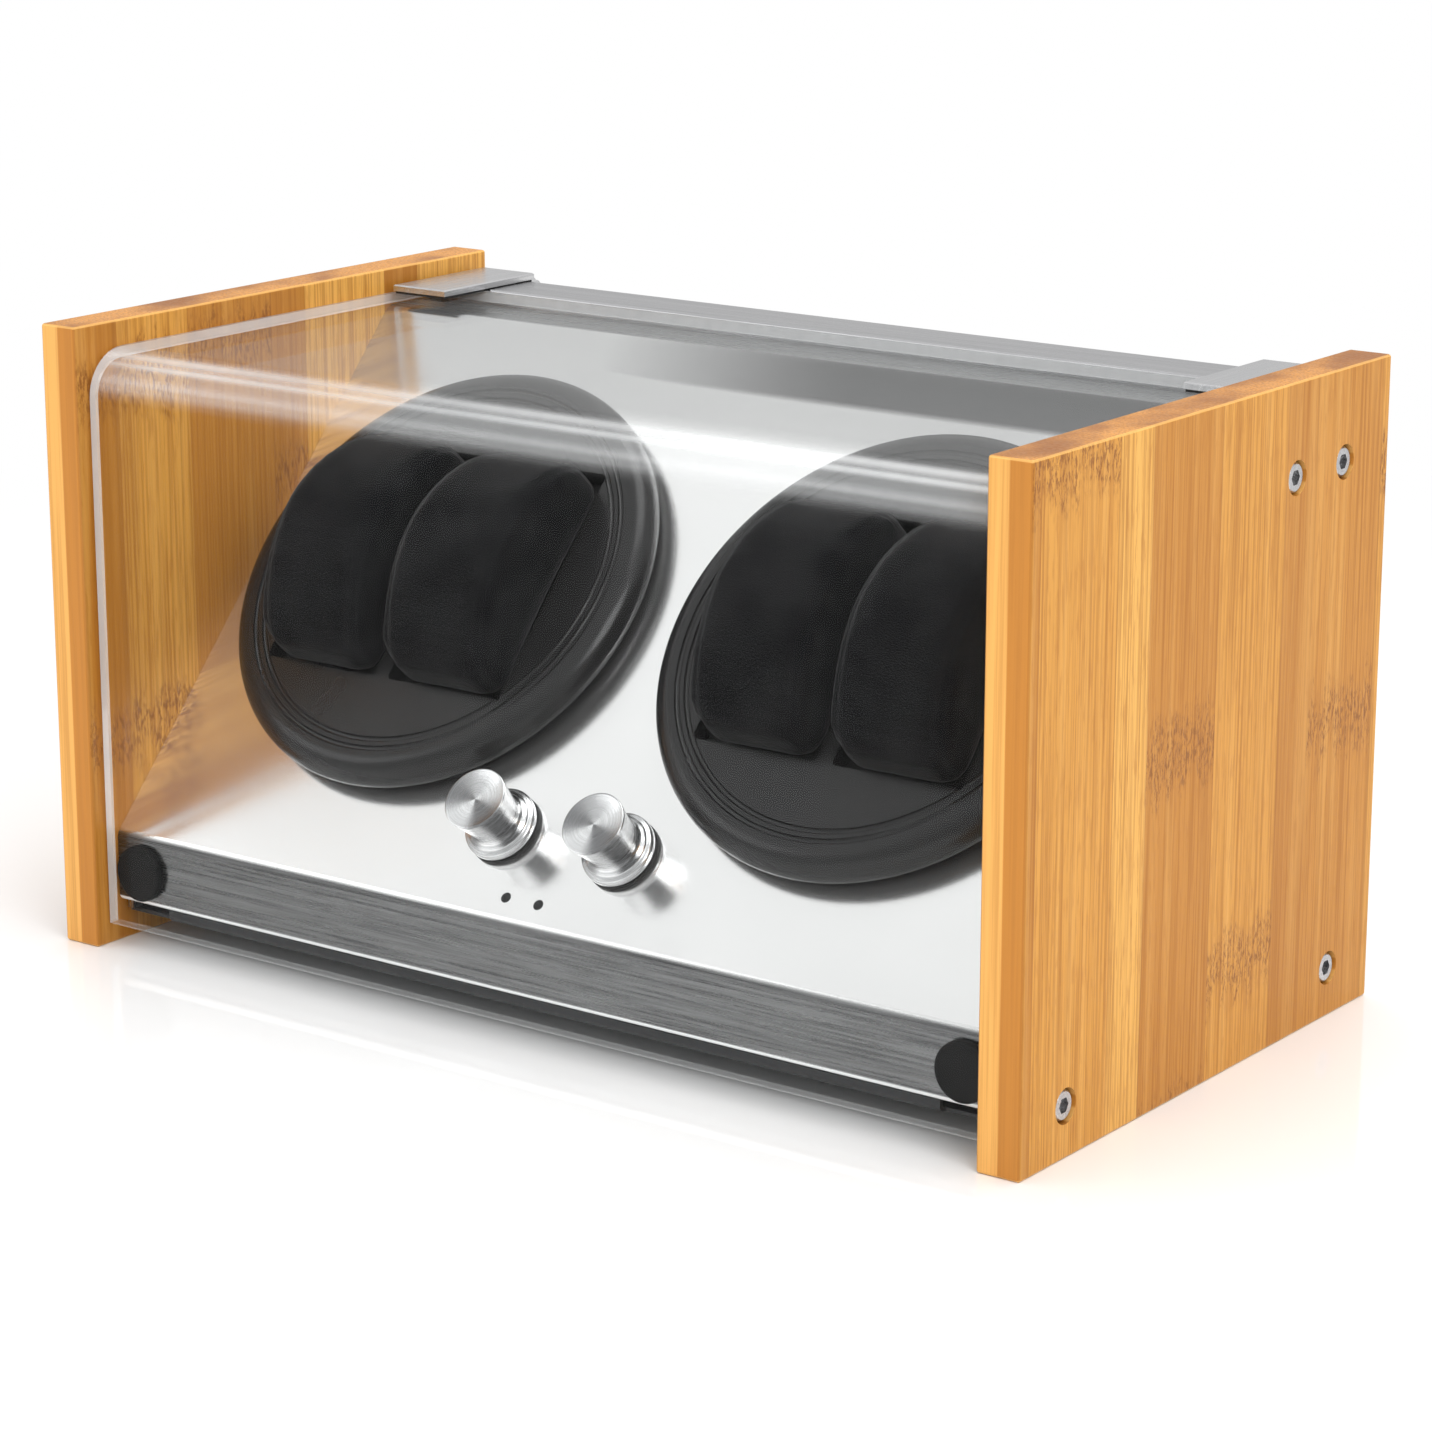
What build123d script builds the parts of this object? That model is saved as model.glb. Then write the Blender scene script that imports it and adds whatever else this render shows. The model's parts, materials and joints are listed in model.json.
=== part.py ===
from build123d import *
import os
from math import cos, radians, sin, sqrt, tan

# Watch winder box: two bamboo side panels carry a bent steel cabinet whose sloping face holds
# two belt-driven turntables, under a bent clear cover that swings up on two rear hinges.
# Millimetres, +Z up, front towards -Y. The origin is on the floor under the middle of the box.

# ---- Overall box ----
WIDTH = 340.0
DEPTH = 187.0
HEIGHT = 188.0
PANEL_T = 13.3
SHEET = 1.2
FRONT = -DEPTH / 2
INNER_X = WIDTH / 2 - PANEL_T
SHELL_X = INNER_X - 0.1

# ---- Steel cabinet section, on its outer surface ----
SLOPE = 48.0
SLOPE_Y = -29.0
SLOPE_Z = 94.2
LIP_Y = FRONT + 10.0
LIP_Z = 12.6
FLAT_Z = 176.4
SHELL_BACK = 86.0
RETURN_LEN = 13.0
REAR_FLANGE = 16.0
LIP_BEND_R = 4.5
BEND_R = 2.0
BASE_Z = 8.6
RETURN_X = 138.0

# ---- Clear cover ----
COVER_X = 155.7
COVER_T = 3.4
COVER_FRONT = FRONT + 4.0
COVER_TOP = 180.6
COVER_LOW = 7.1
COVER_BACK = 64.6
COVER_BEND_R = 14.0

# ---- Hinges and rail ----
RAIL_FRONT = 65.1
RAIL_TOP = 181.0
RAIL_X = 155.9
PLATE_W = 20.8
PLATE_X = 142.7
PLATE_FRONT = 43.5
PLATE_BACK = 88.0
PLATE_Z = 181.4
PLATE_T = 2.0
HINGE_Y = 89.7
HINGE_Z = 178.6
BARREL_R = 2.3
PIN_R = 1.1
KNUCKLE_W = 6.4
RUN_GAP = 0.05

# ---- Turntables and their drive, measured along the slope and out from it ----
TABLE_X = 79.0
TABLE_S = 18.0
TABLE_R = 70.5
TABLE_LOW = 1.6
TABLE_TOP = 12.0
GROOVE_RADII = (61.6, 58.6)
GROOVE_R = 0.9
POCKET_FLOOR = 5.0
SHAFT_R = 3.0
CUSHION_X = 23.5
CUSHION_W = 41.0
CUSHION_L = 76.0
CUSHION_END = 21.0
CUSHION_TOP = 41.0
SOFT_GAP = 0.4
PULLEY_MID = -16.0
PULLEY_H = 6.0
BELT_H = 4.0
BELT_T = 1.2
BELT_GAP = 0.3
DRIVEN_R = 22.0
DRIVER_R = 4.4
MOTOR_S = -46.0
MOTOR_R = 12.0
MOTOR_LEN = 32.0
CAGE_X = 28.0
CAGE_LOW = -27.5
CAGE_T = 1.5
CAGE_TAB = 11.0

# ---- Knobs and lamps ----
KNOB_X = 21.0
KNOB_S = -54.0
KNOB_R = 11.2
KNOB_FACE_R = 9.5
KNOB_WAIST_R = 7.95
KNOB_LOW = 1.7
KNOB_TOP = 18.6
LED_XS = (-10.4, 1.2)
LED_S = -74.0
LED_R = 1.5

# ---- Corner bumpers ----
BUMPER_X = 146.8
BUMPER_Z = 22.8
BUMPER_R = 8.5

# ---- Side screws: (y, z) on each outer face ----
SIDE_SCREWS = ((41.2, 161.4), (68.1, 161.5), (-71.5, 14.6), (69.5, 14.5))
SCREW_HEAD_R = 4.25
SCREW_SEAT_R = 5.0
SCREW_SEAT_DEPTH = 5.6
SCREW_R = 2.5
BOSS_R = 4.5
BOSS_LEN = 12.0
FRAME_T = 2.0
REAR_SCREW_X = 147.9
REAR_SCREW_ZS = (24, 84, 148)

# ---- Small screws: shank, clearance hole ----
M3_R = 1.5
M3_CLEAR_R = 1.7

# ---- Drive fixings ----
BUSH_R = 6.0
BUSH_FLANGE_R = 10.0
CAGE_BELOW = 16.0
CAGE_ABOVE = 26.0
MOTOR_SHAFT_R = 1.5
MOTOR_BOSS_R = 3.8
MOTOR_BOSS_H = 2.4
MOTOR_SCREW_X = 8.5
MOTOR_SCREW_R = 1.3

# ---- Hinge leaves on the rear cover ----
LEAF_T = 1.5
LEAF_TOP = 174.0
LEAF_MID_Z = 168.0
LEAF_SCREW_X = 6.0
LEAF_SCREW_Z = 166.0

# ---- Switches, control board and power inlet ----
SWITCH_BUSH_R = 3.5
SWITCH_BODY_H = 9.5
BOARD_Y = 42.0
BOARD_HOLES = (56.0, 36.0)
BOARD_T = 1.6
POST_H = 6.0
JACK_R = 5.5
JACK_FLANGE_T = 1.6

ALONG = Vector(0, cos(radians(SLOPE)), sin(radians(SLOPE)))
OUT = Vector(0, -sin(radians(SLOPE)), cos(radians(SLOPE)))
SIDES = {"left": -1, "right": 1}

os.makedirs("parts", exist_ok=True)


def slope_point(x, s, h):
    """The point x across, s up the sloping face from its middle and h out from it."""
    return Vector(x, SLOPE_Y, SLOPE_Z) + ALONG * s + OUT * h


def on_slope(x=0.0, s=0.0, h=0.0):
    """Plane parallel to the sloping face: local x across, local y up the slope."""
    return Plane(origin=slope_point(x, s, h), x_dir=(1, 0, 0), z_dir=OUT)


def slope_section(x=0.0, s=0.0, h=0.0):
    """Plane square to X: local x up the slope, local y out from it."""
    return Plane(origin=slope_point(x, s, h), x_dir=ALONG, z_dir=(1, 0, 0))


def slope_end(x=0.0, s=0.0):
    """Plane square to the slope's own direction: local x across, local y out from it."""
    return Plane(origin=slope_point(x, s, 0), x_dir=(1, 0, 0), z_dir=-ALONG)


def slope_y(z):
    """Y of the sloping face's outer surface at height z."""
    return SLOPE_Y + (z - SLOPE_Z) / tan(radians(SLOPE))


def slope_z(y):
    """Height of the sloping face's outer surface at y."""
    return SLOPE_Z + (y - SLOPE_Y) * tan(radians(SLOPE))


def save(part, name):
    """Label a finished piece and write its STEP file."""
    part.label = name
    export_step(part, f"parts/{name}.step")


# ---- Bamboo side panels ----
for side, sign in SIDES.items():
    with BuildPart() as side_panel:
        with BuildSketch(Plane.YZ.offset(sign * (INNER_X + PANEL_T / 2))):
            with Locations((0, HEIGHT / 2)):
                Rectangle(DEPTH, HEIGHT)
        extrude(amount=PANEL_T / 2, both=True)
        fillet(side_panel.edges(), radius=0.9)
        seat = Plane.YZ.offset(sign * (WIDTH / 2 - SCREW_SEAT_DEPTH))
        with BuildSketch(seat):
            with Locations(*SIDE_SCREWS):
                Circle(SCREW_SEAT_R)
        extrude(amount=sign * 2 * SCREW_SEAT_DEPTH, mode=Mode.SUBTRACT)
        with BuildSketch(seat):
            with Locations(*SIDE_SCREWS):
                Circle(SCREW_R + 0.2)
        extrude(amount=-sign * PANEL_T, mode=Mode.SUBTRACT)
    save(side_panel.part, f"side_panel_{side}")

# ---- Front panel: return flange, lip, slope, flat top and rear flange, bent from one sheet ----
with BuildPart() as front_panel:
    with BuildSketch(Plane.YZ):
        with BuildLine():
            FilletPolyline(
                (LIP_Y + RETURN_LEN, LIP_Z),
                (LIP_Y, LIP_Z),
                (LIP_Y, slope_z(LIP_Y)),
                (slope_y(FLAT_Z), FLAT_Z),
                (SHELL_BACK, FLAT_Z),
                (SHELL_BACK, FLAT_Z - REAR_FLANGE),
                radius=[BEND_R, LIP_BEND_R, LIP_BEND_R, BEND_R],
            )
            offset(amount=SHEET, side=Side.RIGHT)
        make_face()
    extrude(amount=SHELL_X, both=True)
    # The return flange stops short of the screw bosses at both ends.
    with BuildSketch(Plane.XY.offset(LIP_Z - 1)):
        with Locations((-SHELL_X, LIP_Y + RETURN_LEN), (SHELL_X, LIP_Y + RETURN_LEN)):
            Rectangle(2 * (SHELL_X - RETURN_X), 2 * (RETURN_LEN - SHEET - 0.8))
    extrude(amount=SHEET + 1.5, mode=Mode.SUBTRACT)
    # Through the slope: bush holes, cage screws, knob bushes and lamp holes.
    with BuildSketch(on_slope(h=1)):
        for sign in SIDES.values():
            with Locations((sign * TABLE_X, TABLE_S)):
                Circle(BUSH_R + 0.2)
            with Locations((sign * TABLE_X, TABLE_S + MOTOR_S / 2)):
                with GridLocations(2 * (CAGE_X + CAGE_TAB / 2), -MOTOR_S, 2, 2):
                    Circle(M3_CLEAR_R)
            with Locations((sign * KNOB_X, KNOB_S)):
                Circle(SWITCH_BUSH_R + 0.2)
        for x in LED_XS:
            with Locations((x, LED_S)):
                Circle(LED_R + 0.1)
    extrude(amount=-(SHEET + 2), mode=Mode.SUBTRACT)
    with BuildSketch(Plane.XZ.offset(-(LIP_Y + SHEET + 1))):
        with Locations((-BUMPER_X, BUMPER_Z), (BUMPER_X, BUMPER_Z)):
            Circle(2.1)
    extrude(amount=SHEET + 2, mode=Mode.SUBTRACT)
save(front_panel.part, "front_panel")

# ---- End frames: closing plates with rear flanges and screw bosses ----
FRAME_TOP = FLAT_Z - SHEET - 0.2
FRAME_LOW = BASE_Z + SHEET + 0.2
FRAME_FRONT = LIP_Y + SHEET + 1.0
SLOPE_IN = (SHEET + 0.2) / sin(radians(SLOPE))
for side, sign in SIDES.items():
    frame_in = SHELL_X - 1.2 - FRAME_T
    with BuildPart() as end_frame:
        with BuildSketch(Plane.YZ.offset(sign * frame_in)):
            with BuildLine():
                Polyline(
                    (FRAME_FRONT, FRAME_LOW),
                    (FRAME_FRONT, slope_z(FRAME_FRONT - SLOPE_IN) - 4.0),
                    (slope_y(FRAME_TOP) + SLOPE_IN + 3.0, FRAME_TOP),
                    (SHELL_BACK - SHEET - 0.2, FRAME_TOP),
                    (SHELL_BACK - SHEET - 0.2, FRAME_LOW),
                    close=True,
                )
            make_face()
        extrude(amount=sign * FRAME_T)
        with BuildSketch(Plane.YZ.offset(sign * (frame_in + FRAME_T))):
            with Locations(*SIDE_SCREWS):
                Circle(BOSS_R)
        extrude(amount=-sign * BOSS_LEN)
        with BuildSketch(Plane.XZ.offset(-SHELL_BACK)):
            with Locations((sign * (frame_in + FRAME_T - 6.5), 84)):
                Rectangle(13, 146)
        extrude(amount=SHEET + 0.6)
        with BuildSketch(Plane.YZ.offset(sign * (frame_in + FRAME_T))):
            with Locations(*SIDE_SCREWS):
                Circle(SCREW_R)
        extrude(amount=-sign * (BOSS_LEN + 1), mode=Mode.SUBTRACT)
        with BuildSketch(Plane.XZ.offset(-(SHELL_BACK + 1))):
            with Locations(*[(sign * REAR_SCREW_X, z) for z in REAR_SCREW_ZS]):
                Circle(M3_R)
        extrude(amount=SHEET + 4, mode=Mode.SUBTRACT)
    save(end_frame.part, f"end_frame_{side}")

# ---- Base plate: black tray under the cabinet, turned up at the front and the back ----
BASE_X = SHELL_X - 0.6
BASE_FRONT = LIP_Y + 1.6
with BuildPart() as base_plate:
    with BuildSketch(Plane.YZ):
        with BuildLine():
            FilletPolyline(
                (BASE_FRONT, LIP_Z - 0.3),
                (BASE_FRONT, BASE_Z),
                (SHELL_BACK - SHEET - 1.6, BASE_Z),
                (SHELL_BACK - SHEET - 1.6, BASE_Z + 14),
                radius=[BEND_R, BEND_R],
            )
            offset(amount=SHEET, side=Side.LEFT)
        make_face()
    extrude(amount=RETURN_X, both=True)
    with BuildSketch(Plane.XY.offset(BASE_Z)):
        with Locations((0, (BASE_FRONT + SHELL_BACK - SHEET) / 2)):
            Rectangle(2 * BASE_X, SHELL_BACK - SHEET - BASE_FRONT - 5)
    extrude(amount=SHEET)
    with BuildSketch(Plane.XY.offset(BASE_Z - 1)):
        with Locations((0, BOARD_Y)):
            with GridLocations(*BOARD_HOLES, 2, 2):
                Circle(M3_R + 0.1)
    extrude(amount=SHEET + 2, mode=Mode.SUBTRACT)
save(base_plate.part, "base_plate")

# ---- Rear cover with vent slots and the inlet hole ----
JACK_X = 112.0
JACK_Z = 40.0
VENT_Z = 112.0
REAR_SCREWS = [(sign * REAR_SCREW_X, z) for sign in SIDES.values() for z in REAR_SCREW_ZS]
with BuildPart() as rear_cover:
    with BuildSketch(Plane.XZ.offset(-(SHELL_BACK + SHEET))):
        with Locations((0, (BASE_Z + FLAT_Z - 1) / 2)):
            RectangleRounded(2 * (SHELL_X - 0.6), FLAT_Z - 1 - BASE_Z, 2)
        with Locations(*REAR_SCREWS):
            Circle(M3_CLEAR_R, mode=Mode.SUBTRACT)
        with Locations((JACK_X, JACK_Z)):
            Circle(JACK_R + 0.1, mode=Mode.SUBTRACT)
        for sign in SIDES.values():
            with Locations((sign * TABLE_X, VENT_Z)):
                with GridLocations(0, 8, 1, 6):
                    SlotOverall(46, 3, mode=Mode.SUBTRACT)
    extrude(amount=SHEET)
save(rear_cover.part, "rear_cover")

with BuildPart() as rear_cover_screws:
    with BuildSketch(Plane.XZ.offset(-(SHELL_BACK + SHEET))):
        with Locations(*REAR_SCREWS):
            Circle(2.8)
    extrude(amount=-1.8)
    fillet(rear_cover_screws.edges().group_by(Axis.Y)[-1], radius=0.8)
    with BuildSketch(Plane.XZ.offset(-(SHELL_BACK + SHEET))):
        with Locations(*REAR_SCREWS):
            Circle(M3_R)
    extrude(amount=6)
    with BuildSketch(Plane.XZ.offset(-(SHELL_BACK + SHEET + 2))):
        with Locations(*REAR_SCREWS):
            Rectangle(3.2, 0.7)
            Rectangle(0.7, 3.2)
    extrude(amount=1.3, mode=Mode.SUBTRACT)
save(rear_cover_screws.part, "rear_cover_screws")

# ---- Side screws: socket heads sunk in the bamboo ----
for side, sign in SIDES.items():
    seat_x = WIDTH / 2 - SCREW_SEAT_DEPTH
    with BuildPart() as side_screws:
        with BuildSketch(Plane.YZ.offset(sign * seat_x)):
            with Locations(*SIDE_SCREWS):
                Circle(SCREW_HEAD_R)
        extrude(amount=sign * 5.0)
        chamfer(side_screws.edges().group_by(Axis.X)[-1 if sign > 0 else 0], length=0.5)
        with BuildSketch(Plane.YZ.offset(sign * (seat_x + 2.2))):
            with Locations(*SIDE_SCREWS):
                RegularPolygon(2.3, 6)
        extrude(amount=sign * 3, mode=Mode.SUBTRACT)
        with BuildSketch(Plane.YZ.offset(sign * seat_x)):
            with Locations(*SIDE_SCREWS):
                Circle(SCREW_R)
        extrude(amount=-sign * 18)
    save(side_screws.part, f"side_screws_{side}")

# ---- Hinge rail on the flat top, behind the cover's rear edge ----
with BuildPart() as hinge_rail:
    with BuildSketch(Plane.YZ):
        with Locations(((RAIL_FRONT + SHELL_BACK) / 2, (FLAT_Z + RAIL_TOP) / 2)):
            Rectangle(SHELL_BACK - RAIL_FRONT, RAIL_TOP - FLAT_Z)
    extrude(amount=RAIL_X, both=True)
    fillet(hinge_rail.edges().filter_by(Axis.X).group_by(Axis.Z)[-1], radius=0.8)
save(hinge_rail.part, "hinge_rail")

# ---- Clear cover: one bent acrylic sheet ----
with BuildPart() as acrylic_cover:
    with BuildSketch(Plane.YZ):
        with BuildLine():
            FilletPolyline(
                (COVER_FRONT, COVER_LOW),
                (COVER_FRONT, COVER_TOP),
                (COVER_BACK, COVER_TOP),
                radius=COVER_BEND_R,
            )
            offset(amount=COVER_T, side=Side.RIGHT)
        make_face()
    extrude(amount=COVER_X, both=True)
    chamfer(acrylic_cover.faces().filter_by(Axis.X).edges(), length=0.5)
save(acrylic_cover.part, "acrylic_cover")

# ---- Hinges: plate with two knuckles on the cover, pad under it, leaf and pin on the cabinet ----
for side, sign in SIDES.items():
    mid = sign * PLATE_X
    with BuildPart() as hinge_plate:
        with BuildSketch(Plane.XY.offset(PLATE_Z)):
            with Locations((mid, (PLATE_FRONT + PLATE_BACK) / 2)):
                Rectangle(PLATE_W, PLATE_BACK - PLATE_FRONT)
        extrude(amount=PLATE_T)
        top_edges = hinge_plate.faces().sort_by(Axis.Z)[-1].edges()
        chamfer(top_edges, length=0.4)
        for offset_x in (-1, 1):
            knuckle = mid + offset_x * (KNUCKLE_W + 0.3)
            with BuildSketch(Plane.YZ.offset(knuckle)):
                with Locations((HINGE_Y, HINGE_Z)):
                    Circle(BARREL_R)
                with BuildLine():
                    Polyline(
                        (HINGE_Y - BARREL_R, HINGE_Z),
                        (HINGE_Y, HINGE_Z + BARREL_R),
                        (PLATE_BACK, PLATE_Z + PLATE_T / 2),
                        (PLATE_BACK - 0.7, PLATE_Z),
                        close=True,
                    )
                make_face()
                with Locations((HINGE_Y, HINGE_Z)):
                    Circle(PIN_R + RUN_GAP, mode=Mode.SUBTRACT)
            extrude(amount=KNUCKLE_W / 2, both=True)
    save(hinge_plate.part, f"hinge_plate_{side}")

    with BuildPart() as hinge_pad:
        with BuildSketch(Plane.XY.offset(COVER_TOP)):
            with Locations((mid, (PLATE_FRONT + COVER_BACK) / 2)):
                Rectangle(PLATE_W - 1, COVER_BACK - PLATE_FRONT - 1)
        extrude(amount=PLATE_Z - COVER_TOP)
    save(hinge_pad.part, f"hinge_pad_{side}")

    with BuildPart() as hinge_leaf:
        with BuildSketch(Plane.XZ.offset(-(SHELL_BACK + SHEET))):
            with Locations((mid, LEAF_MID_Z)):
                RectangleRounded(PLATE_W, 14, 1.5)
            with Locations((mid - LEAF_SCREW_X, LEAF_SCREW_Z), (mid + LEAF_SCREW_X, LEAF_SCREW_Z)):
                Circle(M3_R, mode=Mode.SUBTRACT)
        extrude(amount=-LEAF_T)
        with BuildSketch(Plane.YZ.offset(mid)):
            with Locations((HINGE_Y, HINGE_Z)):
                Circle(BARREL_R)
            with BuildLine():
                Polyline(
                    (SHELL_BACK + SHEET, LEAF_TOP),
                    (SHELL_BACK + SHEET, HINGE_Z - 1.3),
                    (HINGE_Y, HINGE_Z),
                    (HINGE_Y + 1.4, HINGE_Z - 1.8),
                    (SHELL_BACK + SHEET + LEAF_T, LEAF_TOP),
                    close=True,
                )
            make_face()
            with Locations((HINGE_Y, HINGE_Z)):
                Circle(PIN_R, mode=Mode.SUBTRACT)
        extrude(amount=KNUCKLE_W / 2, both=True)
    save(hinge_leaf.part, f"hinge_leaf_{side}")

with BuildPart() as hinge_pins:
    for sign in SIDES.values():
        with BuildSketch(Plane.YZ.offset(sign * PLATE_X)):
            with Locations((HINGE_Y, HINGE_Z)):
                Circle(PIN_R)
        extrude(amount=PLATE_W / 2 - 0.3, both=True)
save(hinge_pins.part, "hinge_pins")

with BuildPart() as hinge_screws:
    for sign in SIDES.values():
        spots = [(sign * PLATE_X + dx, LEAF_SCREW_Z) for dx in (-LEAF_SCREW_X, LEAF_SCREW_X)]
        with BuildSketch(Plane.XZ.offset(-(SHELL_BACK + SHEET + LEAF_T))):
            with Locations(*spots):
                Circle(2.6)
        extrude(amount=-1.4)
        with BuildSketch(Plane.XZ.offset(-(SHELL_BACK + SHEET + LEAF_T))):
            with Locations(*spots):
                Circle(M3_R)
        extrude(amount=LEAF_T)
save(hinge_screws.part, "hinge_screws")

# ---- Bumpers: rubber buttons that the closed cover rests on ----
for side, sign in SIDES.items():
    with BuildPart() as bumper:
        with BuildSketch(Plane.XZ.offset(-LIP_Y)):
            with Locations((sign * BUMPER_X, BUMPER_Z)):
                Circle(BUMPER_R)
        extrude(amount=2.5)
        fillet(bumper.edges().group_by(Axis.Y)[0], radius=0.9)
        with BuildSketch(Plane.XZ.offset(-LIP_Y)):
            with Locations((sign * BUMPER_X, BUMPER_Z)):
                Circle(2.0)
        extrude(amount=-3.0)
    save(bumper.part, f"bumper_{side}")


def belt_outline(driven_r, driver_r):
    """Closed line round two circles and their outer tangents, the driven one at the origin."""
    lean = (driven_r - driver_r) / -MOTOR_S
    across = sqrt(1 - lean ** 2)
    ThreePointArc(
        (driven_r * across, -driven_r * lean),
        (0, driven_r),
        (-driven_r * across, -driven_r * lean),
    )
    Line((-driven_r * across, -driven_r * lean), (-driver_r * across, MOTOR_S - driver_r * lean))
    ThreePointArc(
        (-driver_r * across, MOTOR_S - driver_r * lean),
        (0, MOTOR_S - driver_r),
        (driver_r * across, MOTOR_S - driver_r * lean),
    )
    Line((driver_r * across, MOTOR_S - driver_r * lean), (driven_r * across, -driven_r * lean))


def pulley_profile(seat_r, bore_r, mid_h):
    """Half section of a flanged pulley about local y: a belt seat between two thin flanges."""
    half = PULLEY_H / 2
    cheek = half - 0.6
    rim = seat_r + 2.0
    Polyline(
        (bore_r, mid_h - half),
        (rim, mid_h - half),
        (rim, mid_h - cheek),
        (seat_r, mid_h - cheek),
        (seat_r, mid_h + cheek),
        (rim, mid_h + cheek),
        (rim, mid_h + half),
        (bore_r, mid_h + half),
        close=True,
    )


for side, sign in SIDES.items():
    table_x = sign * TABLE_X
    axis_plane = slope_section(table_x, TABLE_S)
    spin_axis = Axis(axis_plane.origin, OUT)
    motor_plane = slope_section(table_x, TABLE_S + MOTOR_S)
    motor_axis = Axis(motor_plane.origin, OUT)

    # Turntable: a disc with a big rounded rim, a double groove and two cushion pockets.
    with BuildPart() as turntable:
        with BuildSketch(axis_plane):
            with BuildLine():
                Polyline(
                    (63.0, TABLE_TOP),
                    (0, TABLE_TOP),
                    (0, 4.2),
                    (SHAFT_R, 4.2),
                    (SHAFT_R, 1.2),
                    (9.0, 1.2),
                    (9.0, 2.8),
                    (62.0, 2.8),
                    (62.0, TABLE_LOW),
                    (66.5, TABLE_LOW),
                )
                ThreePointArc((66.5, TABLE_LOW), (69.5, 2.9), (TABLE_R, 5.8))
                ThreePointArc((TABLE_R, 5.8), (68.2, 10.5), (63.0, TABLE_TOP))
            make_face()
            for ring_r in GROOVE_RADII:
                with Locations((ring_r, TABLE_TOP)):
                    Circle(GROOVE_R, mode=Mode.SUBTRACT)
        revolve(axis=spin_axis)
        with BuildSketch(on_slope(table_x, TABLE_S, POCKET_FLOOR)):
            with Locations((-CUSHION_X, 0), (CUSHION_X, 0)):
                RectangleRounded(CUSHION_W + 2 * SOFT_GAP, CUSHION_L + 2 * SOFT_GAP, 1.5)
        extrude(amount=TABLE_TOP, mode=Mode.SUBTRACT)
    save(turntable.part, f"turntable_{side}")

    with BuildPart() as turntable_shaft:
        with BuildSketch(on_slope(table_x, TABLE_S, -31)):
            Circle(SHAFT_R)
        extrude(amount=35.2)
        chamfer(turntable_shaft.edges(), length=0.4)
    save(turntable_shaft.part, f"turntable_shaft_{side}")

    with BuildPart() as driven_pulley:
        with BuildSketch(axis_plane):
            with BuildLine():
                pulley_profile(DRIVEN_R, SHAFT_R, PULLEY_MID)
            make_face()
        revolve(axis=spin_axis)
    save(driven_pulley.part, f"driven_pulley_{side}")

    # Bushes: a flanged one behind the sloping face and a flanged one in the cage's floor.
    with BuildPart() as bearing_bushes:
        with BuildSketch(axis_plane):
            with BuildLine():
                Polyline(
                    (SHAFT_R + RUN_GAP, 0.6),
                    (BUSH_R, 0.6),
                    (BUSH_R, -SHEET),
                    (BUSH_FLANGE_R, -SHEET),
                    (BUSH_FLANGE_R, -SHEET - 2),
                    (BUSH_R, -SHEET - 2),
                    (BUSH_R, -9.0),
                    (SHAFT_R + RUN_GAP, -9.0),
                    close=True,
                )
            make_face()
            with BuildLine():
                Polyline(
                    (SHAFT_R + RUN_GAP, CAGE_LOW + CAGE_T + 1.5),
                    (8.0, CAGE_LOW + CAGE_T + 1.5),
                    (8.0, CAGE_LOW + CAGE_T),
                    (5.0, CAGE_LOW + CAGE_T),
                    (5.0, CAGE_LOW - 3),
                    (SHAFT_R + RUN_GAP, CAGE_LOW - 3),
                    close=True,
                )
            make_face()
        revolve(axis=spin_axis)
    save(bearing_bushes.part, f"bearing_bushes_{side}")

    # Motor cage: a hat section open at both ends, where the belt runs through.
    with BuildPart() as motor_cage:
        with BuildSketch(slope_end(table_x, TABLE_S + MOTOR_S - CAGE_BELOW)):
            with BuildLine():
                FilletPolyline(
                    (-CAGE_X - CAGE_TAB, -SHEET),
                    (-CAGE_X, -SHEET),
                    (-CAGE_X, CAGE_LOW + CAGE_T),
                    (CAGE_X, CAGE_LOW + CAGE_T),
                    (CAGE_X, -SHEET),
                    (CAGE_X + CAGE_TAB, -SHEET),
                    radius=BEND_R,
                )
                offset(amount=CAGE_T, side=Side.RIGHT)
            make_face()
        extrude(amount=MOTOR_S - CAGE_BELOW - CAGE_ABOVE)
        with BuildSketch(on_slope(table_x, TABLE_S, CAGE_LOW - 1)):
            Circle(5.0)
            with Locations((0, MOTOR_S)):
                Circle(4.0)
                with Locations((-MOTOR_SCREW_X, 0), (MOTOR_SCREW_X, 0)):
                    Circle(MOTOR_SCREW_R + 0.3)
        extrude(amount=CAGE_T + 2, mode=Mode.SUBTRACT)
        with BuildSketch(on_slope(table_x, TABLE_S + MOTOR_S / 2)):
            with GridLocations(2 * (CAGE_X + CAGE_TAB / 2), -MOTOR_S, 2, 2):
                Circle(M3_R)
        extrude(amount=-6, mode=Mode.SUBTRACT)
    save(motor_cage.part, f"motor_cage_{side}")

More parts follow.
